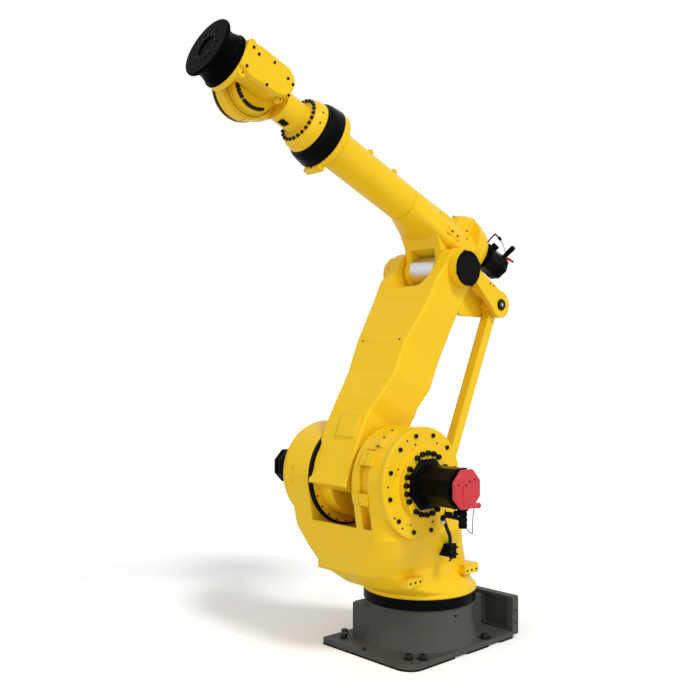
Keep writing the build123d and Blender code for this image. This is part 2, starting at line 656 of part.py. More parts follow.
for label, at, length in (("near", (124, -28), 206), ("far", (-124, -28), 206), ("top", (0, 104), 120)):
    with BuildPart() as motor:
        with BuildSketch(nose(GEAR_END - FOREARM)):
            with Locations(at):
                octagon(84 if label != "top" else 68)
        extrude(amount=-length)
        chamfer(motor.faces().sort_by(lambda f: (f.center() - J3).dot(FORE))[0].edges(), 8)
    save(motor.part, label + "_wrist_motor")

# Wrist

with BuildPart() as wrist_neck:
    with BuildSketch(Plane(origin=J5, x_dir=FORE, z_dir=(0, -1, 0))):
        Polygon((ROLL_FRONT + SEAT, 0), (ROLL_FRONT + SEAT, ROLL_NOSE_R - 2), (ROLL_FRONT + 44, ROLL_NOSE_R - 8),
                (NECK_FACE - 8, 148), (NECK_FACE, 142), (NECK_FACE, NECK_R + 8), (NECK_FACE + 10, NECK_R),
                (NECK_END, NECK_R), (NECK_END, 0), align=None)
    revolve(axis=Axis(J5, FORE))
    with BuildSketch(nose(ROLL_FRONT + SEAT)):
        Circle(ROLL_JOURNAL)
    extrude(amount=-66)
    with BuildSketch(wrist(HEAD_SPLIT - SEAT)):
        Circle(HUB_STEP_R)
        Polygon((NECK_END - 12, -88), (NECK_END - 12, 88), (-60, 139), (-60, -139), align=None)
    extrude(amount=30)
    with BuildSketch(wrist(HEAD_SPLIT - 30)):
        Circle(HUB_R)
        Polygon((NECK_END - 20, -78), (NECK_END - 20, 78), (-60, 168), (-60, -168), align=None)
    extrude(amount=WRIST_HALF + HEAD_SPLIT - 30)
    with BuildSketch(wrist(-WRIST_HALF)):
        Circle(HUB_R - 14)
    extrude(amount=26)
    with BuildSketch(wrist(90)):
        Circle(PITCH_JOURNAL)
    extrude(amount=90 - HEAD_SPLIT + 2)
save(wrist_neck.part, "wrist_neck")

with BuildPart() as far_wrist_cover:
    with BuildSketch(wrist(-WRIST_HALF - 26)):
        Circle(HUB_R - 6)
    extrude(amount=WRIST_FAR - WRIST_HALF - 26)
    chamfer(far_wrist_cover.faces().sort_by(Axis.Y)[0].edges(), 5)
save(far_wrist_cover.part, "far_wrist_cover")

DEE = ((HEAD_BACK, 91), (HEAD_BACK, -58), (118, -78), (9, -66), (-60, -61), (-136, -24), (-144, 24), (-145, 68),
       (-121, 101), (-74, 125), (17, 122), (136, 119), (HEAD_BACK, 100))

with BuildPart() as wrist_head:
    with BuildSketch(wrist(WRIST_HALF - 22)) as dee:
        Polygon(*DEE, align=None)
        offset(amount=-5, kind=Kind.INTERSECTION)
        Polygon((HEAD_BACK - 30, -53), (HEAD_BACK + 2, -53), (HEAD_BACK + 2, 92), (HEAD_BACK - 30, 92), align=None)
    extrude(amount=WRIST_HALF - 22 - HEAD_SPLIT)
    with BuildSketch(nose(HEAD_BACK)):
        Circle(HEAD_RING_R)
    extrude(amount=FLANGE_BACK - HEAD_BACK - SEAT)
    with BuildSketch(wrist(92)):
        Circle(PITCH_JOURNAL + RUN)
    extrude(amount=200, mode=Mode.SUBTRACT)
    with BuildSketch(nose(FLANGE_BACK)):
        Circle(60 + RUN)
    extrude(amount=-24, mode=Mode.SUBTRACT)
save(wrist_head.part, "wrist_head")

with BuildPart() as head_cover:
    with BuildSketch(wrist(WRIST_HALF)) as dee2:
        Polygon(*DEE, align=None)
    extrude(amount=22)
    chamfer(head_cover.faces().sort_by(Axis.Y)[-1].edges(), 3)
save(head_cover.part, "head_cover")

with BuildPart() as tool_flange:
    with BuildSketch(Plane(origin=J5, x_dir=FORE, z_dir=(0, -1, 0))) as profile:
        with BuildLine():
            Polyline((WRIST_FACE, 0), (FLANGE_BACK, 0), (FLANGE_BACK, TOOL_R - 12), (FLANGE_BACK + 9, TOOL_R - 12),
                     (FLANGE_BACK + 15, TOOL_WAIST_R + 11), (FLANGE_BACK + 40, TOOL_WAIST_R + 5))
            ThreePointArc((FLANGE_BACK + 40, TOOL_WAIST_R + 5), (WRIST_FACE - 58, TOOL_WAIST_R),
                          (WRIST_FACE - 26, TOOL_WAIST_R + 18))
            ThreePointArc((WRIST_FACE - 26, TOOL_WAIST_R + 18), (WRIST_FACE - 14, TOOL_R), (WRIST_FACE, TOOL_R - 8))
            Line((WRIST_FACE, TOOL_R - 8), (WRIST_FACE, 0))
        make_face()
    revolve(axis=Axis(J5, FORE))
    with BuildSketch(nose(FLANGE_BACK)):
        Circle(60)
    extrude(amount=-20)
    with BuildSketch(nose(WRIST_FACE)):
        Circle(TOOL_PILOT_R)
    extrude(amount=-8, mode=Mode.SUBTRACT)
    with BuildSketch(nose(WRIST_FACE)):
        with PolarLocations(TOOL_PCD / 2, 6):
            Circle(TOOL_HOLE_R)
    extrude(amount=-28, mode=Mode.SUBTRACT)
save(tool_flange.part, "tool_flange")

# Lead of the near motor: from the plug along the side of the turret into its clamp

CLAMP_AT = Vector(183, 418, 700)
CLAMP_W = 52.0
CLAMP_H = 78.0

LEAD = (Vector(PLUG_AT.X, PLUG_AT.Y - PLUG_R - SEAT, PLUG_AT.Z + 22), Vector(444, 588, 968), Vector(366, 552, 884),
        Vector(262, 496, 800), Vector(CLAMP_AT.X + 2, CLAMP_AT.Y + 6, CLAMP_AT.Z + CLAMP_H / 2 - 14))
lead_radii = []
for before, corner, after in zip(LEAD, LEAD[1:], LEAD[2:]):
    run = min((corner - before).length, (after - corner).length)
    turn = radians((corner - before).get_angle(after - corner))
    lead_radii.append(0.45 * run / tan(turn / 2))
print("lead bend radii", [round(r) for r in lead_radii])

with BuildPart() as motor_lead:
    with BuildLine() as route:
        FilletPolyline(*LEAD, radius=lead_radii)
    with BuildSketch(Plane(origin=LEAD[0], z_dir=LEAD[1] - LEAD[0])):
        Circle(LEAD_R)
    sweep()
save(motor_lead.part, "motor_lead")

with BuildPart() as lead_clamp:
    with BuildSketch(Plane(origin=(CLAMP_AT.X, 340, CLAMP_AT.Z), x_dir=(1, 0, 0), z_dir=(0, 1, 0))):
        Rectangle(CLAMP_W, CLAMP_H)
    extrude(amount=104)
    add(turret_casting.part, mode=Mode.SUBTRACT)
    add(motor_lead.part, mode=Mode.SUBTRACT)
save(lead_clamp.part.solids().sort_by(Axis.Y)[-1], "lead_clamp")
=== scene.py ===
# %% [markdown]
# # A six-axis robot arm, dressed from its CAD solids
# The solids of the arm come from its CAD source and carry the motion. This file gives them paint,
# screws, seams and leads, and a studio to stand in. Every piece rides on one rigid body of the arm,
# so that the arm can be posed without editing anything here.

# %% Load the solids
import json
import math

import bmesh
import bpy
from mathutils import Matrix, Vector
from mathutils.bvhtree import BVHTree


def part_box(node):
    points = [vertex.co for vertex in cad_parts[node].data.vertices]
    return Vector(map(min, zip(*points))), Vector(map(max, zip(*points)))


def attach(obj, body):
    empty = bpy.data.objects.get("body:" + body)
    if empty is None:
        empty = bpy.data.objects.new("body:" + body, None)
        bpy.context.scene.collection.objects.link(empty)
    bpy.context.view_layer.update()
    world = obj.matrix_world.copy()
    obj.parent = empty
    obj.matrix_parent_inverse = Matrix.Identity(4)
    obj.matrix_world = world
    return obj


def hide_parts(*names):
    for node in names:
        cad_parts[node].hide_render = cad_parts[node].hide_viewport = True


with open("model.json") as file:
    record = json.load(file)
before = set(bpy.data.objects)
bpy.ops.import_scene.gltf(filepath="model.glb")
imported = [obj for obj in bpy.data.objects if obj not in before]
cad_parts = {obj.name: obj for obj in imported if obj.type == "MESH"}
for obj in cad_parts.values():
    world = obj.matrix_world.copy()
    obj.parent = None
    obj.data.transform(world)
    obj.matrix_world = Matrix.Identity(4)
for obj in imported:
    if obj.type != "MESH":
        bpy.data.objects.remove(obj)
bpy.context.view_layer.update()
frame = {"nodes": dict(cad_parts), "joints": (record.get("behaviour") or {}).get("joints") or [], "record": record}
solids = frame["nodes"]

# %% [markdown]
# ## Where the axes are
# All details are placed from the axes of the joints, so a screw circle is a centre, a direction and
# a radius. The record of the part holds these points. Reading them is safer than typing them again.

# %% Joint points and directions
joint_at = {j["name"]: Vector(j["pos_m"]) for j in frame["joints"]}
shoulder = joint_at["j2_lower_arm"]
elbow = joint_at["j3_forearm"]
pitch = joint_at["j5_pitch"]
tool_face = joint_at["j6_tool"]
forward = Vector((1, 0, 0))
left = Vector((0, 1, 0))
up = Vector((0, 0, 1))
fore = (tool_face - pitch).normalized()
fore_up = Vector((-fore.z, 0, fore.x))
along = (elbow - shoulder).normalized()
across = Vector((along.z, 0, -along.x))
print("reach to the pitch axis:", round(pitch.x, 3), "m")

# %% [markdown]
# ## Shared finishes
# Paint on a casting is never quite even. It has a fine orange peel, it is a little duller in some
# places than in others, and its edges are rounded by the mould. Each effect could be wired anew in
# every material. Here it is a node group, built once and placed in each material with its own values.


# %% Helpers for node trees
def new_group(name, inputs, outputs):
    group = bpy.data.node_groups.new(name, "ShaderNodeTree")
    for key, kind, value in inputs:
        socket = group.interface.new_socket(key, in_out="INPUT", socket_type=kind)
        socket.default_value = value
    for key, kind in outputs:
        group.interface.new_socket(key, in_out="OUTPUT", socket_type=kind)
    return group, group.nodes.new("NodeGroupInput"), group.nodes.new("NodeGroupOutput")


def preset(node, values):
    for key, value in values.items():
        node.inputs[key].default_value = value
    return node


def add_math(nodes, operation, values):
    node = nodes.new("ShaderNodeMath")
    node.operation = operation
    return preset(node, values)


# %% Orange peel and uneven tone
def make_paint_skin():
    group, start, end = new_group(
        "paint_skin",
        [("Grain Scale", "NodeSocketFloat", 150.0), ("Tone Amount", "NodeSocketFloat", 0.05),
         ("Color", "NodeSocketColor", (1, 1, 1, 1)), ("Roughness", "NodeSocketFloat", 0.4)],
        [("Color", "NodeSocketColor"), ("Roughness", "NodeSocketFloat"), ("Height", "NodeSocketFloat")])
    nodes = group.nodes
    place = nodes.new("ShaderNodeTexCoord")
    grain = preset(nodes.new("ShaderNodeTexNoise"), {"Detail": 3.0})
    clouds = preset(nodes.new("ShaderNodeTexNoise"), {"Scale": 3.5, "Detail": 4.0})
    lean = add_math(nodes, "SUBTRACT", {1: 0.5})
    amount = add_math(nodes, "MULTIPLY", {})
    tone = nodes.new("ShaderNodeHueSaturation")
    lift = add_math(nodes, "ADD", {1: 1.0})
    rough = add_math(nodes, "ADD", {})
    link = group.links.new
    link(place.outputs["Object"], grain.inputs["Vector"])
    link(place.outputs["Object"], clouds.inputs["Vector"])
    link(start.outputs["Grain Scale"], grain.inputs["Scale"])
    link(clouds.outputs["Fac"], lean.inputs[0])
    link(lean.outputs[0], amount.inputs[0])
    link(start.outputs["Tone Amount"], amount.inputs[1])
    link(amount.outputs[0], lift.inputs[0])
    link(lift.outputs[0], tone.inputs["Value"])
    link(start.outputs["Color"], tone.inputs["Color"])
    link(start.outputs["Roughness"], rough.inputs[0])
    link(amount.outputs[0], rough.inputs[1])
    link(tone.outputs["Color"], end.inputs["Color"])
    link(rough.outputs[0], end.inputs["Roughness"])
    link(grain.outputs["Fac"], end.inputs["Height"])
    return group


paint_skin = make_paint_skin()
print("group:", paint_skin.name)

# %% [markdown]
# ## Rounded edges
# A mould leaves no knife edge on a casting. A bevel could be cut into every solid, but the solids are
# kept as the CAD source made them. The Bevel node only bends the light at an edge, which is enough.


# %% Rounded edges, as the mould leaves them
def make_moulded_edge():
    group, start, end = new_group("moulded_edge", [("Radius", "NodeSocketFloat", 0.006)],
                                  [("Normal", "NodeSocketVector")])
    round_off = group.nodes.new("ShaderNodeBevel")
    round_off.samples = 6
    group.links.new(start.outputs["Radius"], round_off.inputs["Radius"])
    group.links.new(round_off.outputs["Normal"], end.inputs["Normal"])
    return group


moulded_edge = make_moulded_edge()
print("group:", moulded_edge.name)

# %% [markdown]
# ## The paints and metals
# The castings wear a warm yellow coat with a satin gloss. The base is charcoal grey, the motors and
# the wrist flange are nearly black, and the cap of the near motor is red. A material could be built
# by hand for each. One function builds them all, so a finish is a short row of values.


# %% One painted finish
def painted(name, color, roughness, grain=150.0, tone=0.05, bump=0.05, edge=0.006, specular=0.5,
            metallic=0.0):
    material = bpy.data.materials.new(name)
    material.use_nodes = True
    material.diffuse_color = (*color, 1)
    tree = material.node_tree
    link = tree.links.new
    shader = preset(tree.nodes["Principled BSDF"], {"Specular IOR Level": specular, "Metallic": metallic})
    skin = tree.nodes.new("ShaderNodeGroup")
    skin.node_tree = paint_skin
    preset(skin, {"Grain Scale": grain, "Tone Amount": tone, "Color": (*color, 1), "Roughness": roughness})
    relief = preset(tree.nodes.new("ShaderNodeBump"), {"Strength": bump, "Distance": 0.001})
    link(skin.outputs["Color"], shader.inputs["Base Color"])
    link(skin.outputs["Roughness"], shader.inputs["Roughness"])
    link(skin.outputs["Height"], relief.inputs["Height"])
    link(relief.outputs["Normal"], shader.inputs["Normal"])
    if edge:
        soft = tree.nodes.new("ShaderNodeGroup")
        soft.node_tree = moulded_edge
        preset(soft, {"Radius": edge})
        link(soft.outputs["Normal"], relief.inputs["Normal"])
    return material


# %% The finishes of this arm
looks = {
    "yellow_paint": dict(color=(0.93, 0.590, 0.010), roughness=0.36, tone=0.06, edge=0.012, specular=0.22),
    "charcoal_paint": dict(color=(0.072, 0.074, 0.064), roughness=0.55, grain=90.0, tone=0.45, bump=0.25,
                           specular=0.15),
    "black_paint": dict(color=(0.002, 0.002, 0.0024), roughness=0.26, edge=0.004, specular=0.045),
    "red_cap": dict(color=(0.62, 0.03, 0.045), roughness=0.35, edge=0.003, specular=0.4),
    "bright_steel": dict(color=(0.62, 0.63, 0.64), roughness=0.32, edge=0.002, metallic=1.0),
    "dark_steel": dict(color=(0.006, 0.006, 0.006), roughness=0.34, edge=0.001, specular=0.2),
    "cable_rubber": dict(color=(0.008, 0.008, 0.008), roughness=0.6, edge=0.0, specular=0.12),
}
finish_of = {slot: painted(slot, **look) for slot, look in looks.items()}


def paint_solid(node, finish):
    solids[node].data.materials.clear()
    solids[node].data.materials.append(finish)


for row in frame["record"]["subparts"]:
    paint_solid(row["node"], finish_of[row["material_slot"]])
print("finishes:", len(finish_of))

# %% A deeper black for the tool flange
flange_black = painted("flange_black", (0.0015, 0.0015, 0.0018), 0.42, edge=0.003, specular=0.012)
paint_solid("tool_flange", flange_black)
print("flange finish:", flange_black.name)

# %% [markdown]
# ## Finding the surface
# A screw has to stand on its casting, not float over it or drown in it. Its height could be typed in,
# but a curved casting has a new height at every point. So each screw starts a little way out and is
# let down along its own axis, until a ray meets the solid.


# %% Stand a model on a point
def stand_on(point, axis, turn=0.0):
    spin = Vector(axis).to_track_quat("Z", "Y").to_matrix().to_4x4()
    return Matrix.Translation(point) @ spin @ Matrix.Rotation(turn, 4, "Z")


# %% Let a point down onto a solid
solid_trees = {}
seat_reach = 0.04
seat_sink = 0.0003


def seat(node, point, axis):
    """The place where the line through point, against axis, meets the solid."""
    if node not in solid_trees:
        bm = bmesh.new()
        bm.from_mesh(solids[node].data)
        solid_trees[node] = BVHTree.FromBMesh(bm)
        bm.free()
    axis = Vector(axis).normalized()
    found = solid_trees[node].ray_cast(Vector(point) + axis * seat_reach, -axis, 2 * seat_reach)[0]
    if found is None:
        print("nothing to stand on:", node, [round(v, 3) for v in point])
    return found


print("top of the base plate:", round(seat("base_casting", (0.453, 0.353, 0.045), up).z, 4))

# %% [markdown]
# ## From a bmesh to a piece
# Every piece below is shaped in a bmesh and then handed over in the same way: its normals point out,
# its faces are smooth but for the edges that turn sharply, and it rides on one body of the arm. A
# modifier could split the sharp edges too. Marking them in the mesh needs no modifier at all.


# %% Finish a mesh as a piece of the arm
crisp = math.radians(34)


def keep_mesh(name, bm):
    mesh = bpy.data.meshes.new(name)
    bm.to_mesh(mesh)
    bm.free()
    return mesh


def show_object(name, data):
    item = bpy.data.objects.new(name, data)
    bpy.context.scene.collection.objects.link(item)
    return item


def finish_piece(name, bm, body, slot):
    bmesh.ops.recalc_face_normals(bm, faces=bm.faces)
    for face in bm.faces:
        face.smooth = True
    for rim in bm.edges:
        if rim.is_manifold and rim.calc_face_angle() > crisp:
            rim.smooth = False
    mesh = keep_mesh(name, bm)
    mesh.materials.append(finish_of[slot])
    piece = show_object(name, mesh)
    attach(piece, body)
    print(name, "on", body, "-", len(mesh.polygons), "faces")
    return piece


# %% [markdown]
# ## Small hardware
# An arm like this is held together by hundreds of socket screws. One screw could be an object of its
# own, or an instance. Here each ring of screws is one mesh, made by placing copies of a small model,
# because a ring moves as one piece with its body and stays easy to select.


# %% Raise a rim of edges
def raise_rim(bm, rim, lift, size=1.0):
    grown = bmesh.ops.extrude_edge_only(bm, edges=rim)["geom"]
    fresh = [g for g in grown if isinstance(g, bmesh.types.BMVert)]
    bmesh.ops.translate(bm, verts=fresh, vec=(0, 0, lift))
    bmesh.ops.scale(bm, verts=fresh, vec=(size, size, 1))
    known = set(fresh)
    return [g for g in grown if isinstance(g, bmesh.types.BMEdge) and set(g.verts) <= known]


# %% A socket screw of radius 1 and height 1
def make_socket_screw():
    chamfer = 0.16
    crown_size = 0.88
    socket_radius = 0.54
    socket_depth = 0.5
    bm = bmesh.new()
    bmesh.ops.create_circle(bm, segments=18, radius=1.0)
    rim = raise_rim(bm, bm.edges[:], 1 - chamfer)
    rim = raise_rim(bm, rim, chamfer, crown_size)
    hexagon = set(bmesh.ops.create_circle(bm, segments=6, radius=socket_radius,
                                          matrix=Matrix.Translation((0, 0, 1)))["verts"])
    socket_rim = [e for e in bm.edges if set(e.verts) <= hexagon]
    bmesh.ops.bridge_loops(bm, edges=rim + socket_rim)
    bmesh.ops.edgeloop_fill(bm, edges=raise_rim(bm, socket_rim, -socket_depth))
    bmesh.ops.recalc_face_normals(bm, faces=bm.faces)
    return keep_mesh("socket_screw", bm)


# %% A round plug, with a shallow dish in its head
def make_round_plug(dish, segments=18):
    """Wall, chamfer, flat rim and the wall of the dish, each as a lift and a change of size."""
    bm = bmesh.new()
    bmesh.ops.create_circle(bm, segments=segments, radius=1.0)
    rim = bm.edges[:]
    for lift, size in ((0.8, 1.0), (0.2, 0.9), (0.0, 0.8), (-dish, 0.96)):
        rim = raise_rim(bm, rim, lift, size)
    bmesh.ops.edgeloop_fill(bm, edges=rim)
    bmesh.ops.recalc_face_normals(bm, faces=bm.faces)
    return keep_mesh("round_plug", bm)


nearly_flat = 0.001
socket_screw = make_socket_screw()
round_plug = make_round_plug(0.35)
flat_boss = make_round_plug(nearly_flat, 28)
flat_washer = make_round_plug(nearly_flat, 24)
print("screw model:", len(socket_screw.polygons), "faces")


# %% Place copies of a model as one piece
def scatter(name, body, slot, model, spots):
    """A spot is a point, an axis, a radius, a height and a turn about the axis."""
    bm = bmesh.new()
    for point, axis, radius, height, turn in spots:
        known = len(bm.verts)
        bm.from_mesh(model)
        bm.verts.ensure_lookup_table()
        size = Matrix.Diagonal((radius, radius, height, 1))
        bmesh.ops.transform(bm, matrix=stand_on(point, axis, turn) @ size, verts=bm.verts[known:])
    finish_piece(name, bm, body, slot)


def scatter_screws(name, body, spots, slot="dark_steel"):
    scatter(name, body, slot, socket_screw, spots)


def scatter_plugs(name, body, spots, slot="black_paint"):
    scatter(name, body, slot, round_plug, spots)


# %% Directions on a circle
def spoke(degree, zero=forward, quarter=up):
    """A direction that runs from zero to quarter as the angle grows."""
    angle = math.radians(degree)
    return zero * math.cos(angle) + quarter * math.sin(angle)


def evenly(count, first):
    return [first + 360 / count * k for k in range(count)]


print("a spoke at 90 degrees:", spoke(90))


# %% Spots on a solid
def at_points(node, points, axis, head, twist=0.7):
    """Spots where the points meet the solid. A head is a radius and a height."""
    axis = Vector(axis).normalized()
    spots = []
    for count, point in enumerate(points):
        place = seat(node, point, axis)
        if place is not None:
            spots.append((place - axis * seat_sink, axis, *head, count * twist))
    return spots


def on_circle(node, centre, axis, radius, degrees, head, zero=forward, quarter=up):
    """Spots on a flat face, in a circle about the axis."""
    aims = [centre + spoke(degree, zero, quarter) * radius for degree in degrees]
    return at_points(node, aims, axis, head, twist=1.3)


def on_rim(node, centre, radius, degrees, head, zero=forward, quarter=up):
    """Spots on the outside of a drum, each one along its own spoke."""
    spots = []
    for degree in degrees:
        out = spoke(degree, zero, quarter)
        spots += at_points(node, [centre + out * radius], out, head)
    return spots


# %% [markdown]
# ## Turned pieces, blocks and bars
# A seal is a section spun about an axis, a pad is a cube with bevelled edges, and a lead or a wire is
# a row of bars. A curve with a bevel could draw the wires too, but their runs are short and straight.


# %% A ring with a given section
def spin_section(bm, centre, axis, section, steps=72):
    """The section is a closed line of (radius, height) points about the axis."""
    base = stand_on(centre, axis)
    corners = [bm.verts.new(base @ Vector((radius, 0, height))) for radius, height in section]
    sides = [bm.edges.new(pair) for pair in zip(corners, corners[1:] + corners[:1])]
    bmesh.ops.spin(bm, geom=corners + sides, cent=centre, axis=axis, angle=math.radians(360),
                   steps=steps, use_merge=True)


# %% Soft edges
def bevel_edges(bm, rims, offset):
    bmesh.ops.bevel(bm, geom=rims, offset=offset, offset_type="OFFSET", segments=3, profile=0.5,
                    affect="EDGES", clamp_overlap=True, material=-1)


# %% A block with rounded edges
def add_block(bm, centre, size, ahead, beside, soft):
    """The block's sides lie along ahead, beside and their cross product."""
    ahead = Vector(ahead).normalized()
    beside = Vector(beside).normalized()
    third = ahead.cross(beside)
    turn = Matrix((ahead, beside, third)).transposed().to_4x4()
    block = bmesh.ops.create_cube(bm, size=1.0, matrix=Matrix.Translation(centre) @ turn
                                  @ Matrix.Diagonal((*size, 1)))["verts"]
    bevel_edges(bm, list({rim for v in block for rim in v.link_edges}), soft)


# %% A bar between two points, and a wire through several
def add_bar(bm, start, end, radius, end_radius=None, segments=20):
    run = Vector(end) - Vector(start)
    bmesh.ops.create_cone(bm, cap_ends=True, segments=segments, radius1=radius,
                          radius2=radius if end_radius is None else end_radius, depth=run.length,
                          matrix=stand_on(Vector(start) + run / 2, run))


def add_wire(bm, bends, radius, segments):
    for start, end in zip(bends, bends[1:]):
        add_bar(bm, start, end, radius, segments=segments)


# %% [markdown]
# ## The near shoulder drive
# Twelve screws clamp the reducer plate to the cheek, and twenty more in four groups hold the boss that
# carries the motor. Their heads are 27 mm and 33 mm wide. The smaller black dots are plugs in jacking
# holes, and four round bosses are cast on. The dots could be painted on, but the real ones stand up.

# %% Screws of the near reducer
plate_out = 0.470
boss_out = 0.496
plate_head = (0.0135, 0.012)
drive_head = (0.0165, 0.022)
drive_ring = 0.182
drive_degrees = [middle + 15.5 * k for middle in (2, 92, 182, 272) for k in (-2, -1, 0, 1, 2)]


def screw_reducer(side, prefix, clamp_ring):
    """Side is 1 for the near reducer and -1 for the far one."""
    node = prefix + "_reducer"
    axis = left * side
    scatter_screws(prefix + "_reducer_screws", "turret",
                   on_circle(node, shoulder + axis * plate_out, axis, clamp_ring, evenly(12, 17), plate_head))
    scatter_screws(prefix + "_drive_screws", "turret",
                   on_circle(node, shoulder + axis * boss_out, axis, drive_ring, drive_degrees, drive_head))


screw_reducer(1, "near", 0.292)

# %% Plugs and cast bosses of the near reducer
near_face = shoulder + left * plate_out
plug_head = (0.0065, 0.002)
plug_places = ((0.244, 74), (0.261, 118), (0.294, 62), (0.238, 25), (0.298, 1), (0.302, -36), (0.303, -54),
               (0.256, -65), (0.251, -109), (0.271, -137))
jacking = []
for radius, degree in plug_places:
    jacking += on_circle("near_reducer", near_face, left, radius, [degree], plug_head)
scatter_plugs("near_jacking_plugs", "turret", jacking)
boss_height = 0.006
boss_places = ((0.233, 67, 0.013), (0.242, 19, 0.013), (0.253, -60, 0.016), (0.268, -113, 0.016))
cast_dots = []
for radius, degree, size in boss_places:
    cast_dots += on_circle("near_reducer", near_face, left, radius, [degree], (size, boss_height))
scatter("near_cast_bosses", "turret", "yellow_paint", flat_boss, cast_dots)

# %% [markdown]
# ## The shoulder motors
# Each motor is an octagonal black housing. Its CAD solid is plain, so it is replaced here by a housing
# with a flange, a step and rounded corners. An octagon is a circle of eight edges, raised along the
# axis and bevelled. A cube with cut corners would do as well, but a rim is easier to step in and out.


# %% An eight-sided housing
flat_side_up = math.radians(22.5)
soft_from = math.radians(20)


def add_octagon(bm, centre, axis, sections, soft=None):
    """Sections are (height, radius) pairs, and each one starts where the last ends."""
    known = set(bm.verts)
    height, radius = sections[0]
    bmesh.ops.create_circle(bm, segments=8, radius=radius)
    rim = [e for e in bm.edges if not set(e.verts) & known]
    bmesh.ops.edgeloop_fill(bm, edges=rim)
    for next_height, next_radius in sections[1:]:
        rim = raise_rim(bm, rim, next_height - height, next_radius / radius)
        height, radius = next_height, next_radius
    bmesh.ops.edgeloop_fill(bm, edges=rim)
    fresh = {v for v in bm.verts if v not in known}
    bmesh.ops.transform(bm, matrix=stand_on(centre, axis, flat_side_up), verts=list(fresh))
    if soft:
        bevel_edges(bm, [e for e in bm.edges if set(e.verts) <= fresh and e.is_manifold
                         and e.calc_face_angle() > soft_from], soft)


# %% The two shoulder motors
motor_out = 0.4961
motor_flange = ((0, 0.160), (0.020, 0.160), (0.020, 0.150), (0.028, 0.150))
motor_shell = ((0.026, 0.126), (0.050, 0.126), (0.050, 0.122), (0.262, 0.122), (0.262, 0.1245),
               (0.2936, 0.1245))


def make_motor(node, side):
    axis = left * side
    start = shoulder + axis * motor_out
    bm = bmesh.new()
    add_octagon(bm, start, axis, motor_flange, soft=0.006)
    add_octagon(bm, start, axis, motor_shell, soft=0.007)
    piece = finish_piece(node + "_housing", bm, "turret", "black_paint")
    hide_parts(node)


make_motor("near_motor", 1)
make_motor("far_motor", -1)

# %% [markdown]
# ## The red cap
# The near motor ends in a red moulded cap with two raised bars, four small screws and a round socket
# that points backwards. The relief could be a bump in the paint. It is modelled, because the bars
# stand high enough to catch the light along their edges.


# %% Cap of the near motor, and its screws
cap_out = 0.790
cap_outline = ((0.0005, 0.1201), (0.0195, 0.1201), (0.0220, 0.1170))


def make_near_cap():
    """A bar is a centre, a size and the softness of its edges."""
    bars = (((0.519, 0.8105, 1.140), (0.006, 0.013, 0.072), 0.002),
            ((0.470, 0.8105, 1.076), (0.096, 0.0145, 0.036), 0.004))
    bm = bmesh.new()
    add_octagon(bm, shoulder + left * cap_out, left, cap_outline)
    for centre, size, soft in bars:
        add_block(bm, Vector(centre), size, forward, left, soft)
    piece = finish_piece("near_cap_housing", bm, "turret", "red_cap")
    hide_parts("near_motor_cap")


make_near_cap()
cap_face_out = 0.8115
cap_head = (0.0050, 0.004)
cap_places = ((0.083, 0.032), (0.020, 0.026), (-0.014, 0.044), (-0.061, 0.050))
scatter_screws("near_cap_screws", "turret",
               [(shoulder + Vector((x, cap_face_out, z)), left, *cap_head, x) for x, z in cap_places])


# %% Socket of the cap, and the wire below it
def make_cap_socket():
    socket_radius = 0.0150
    collar_radius = 0.0168
    wire_radius = 0.0024
    bm = bmesh.new()
    add_bar(bm, (0.480, 0.801, 1.050), (0.372, 0.801, 1.042), socket_radius)
    add_bar(bm, (0.384, 0.801, 1.043), (0.370, 0.801, 1.042), collar_radius)
    finish_piece("near_cap_socket", bm, "turret", "red_cap")
    bm = bmesh.new()
    add_wire(bm, [(0.398, 0.794, 1.042), (0.408, 0.790, 1.002), (0.398, 0.778, 0.930), (0.390, 0.770, 0.876),
                  (0.400, 0.760, 0.884), (0.426, 0.750, 0.914)], wire_radius, 10)
    finish_piece("near_cap_wire", bm, "turret", "black_paint")


make_cap_socket()

# %% [markdown]
# ## The power plug and its lead
# A ribbed plug hangs under the cap, and its lead runs back to a clamp on the turret. The plug is one
# outline turned about its own axis, ribs and all, and replaces its plain solid. Separate rings would
# look the same, but one outline has no hidden walls.


# %% Body and gland of the plug
plug_outline = ((0.0, 0.0), (0.0210, 0.0), (0.0255, 0.008), (0.0255, 0.026), (0.0232, 0.030),
                (0.0232, 0.036), (0.0262, 0.040), (0.0262, 0.056), (0.0225, 0.062), (0.0225, 0.070),
                (0.0262, 0.074), (0.0262, 0.088), (0.0215, 0.096), (0.0330, 0.104), (0.0330, 0.120),
                (0.0270, 0.128), (0.0, 0.128))
merge_gap = 0.00001


def make_plug_dressing():
    low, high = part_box("near_motor_plug")
    middle = (low + high) / 2
    foot = Vector((middle.x, middle.y, low.z))
    bm = bmesh.new()
    spin_section(bm, foot, up, plug_outline, steps=36)
    bmesh.ops.remove_doubles(bm, verts=bm.verts, dist=merge_gap)
    piece = finish_piece("near_plug_body", bm, "turret", "black_paint")
    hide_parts("near_motor_plug")
    gland = Vector((0.447, foot.y, foot.z))
    bm = bmesh.new()
    add_bar(bm, gland + Vector((0, -0.014, 0.088)), gland + Vector((0, -0.062, 0.074)), 0.0165)
    add_bar(bm, gland + Vector((0, -0.046, 0.079)), gland + Vector((0, -0.058, 0.0755)), 0.0195, segments=6)
    finish_piece("near_plug_gland", bm, "turret", "black_paint")


make_plug_dressing()


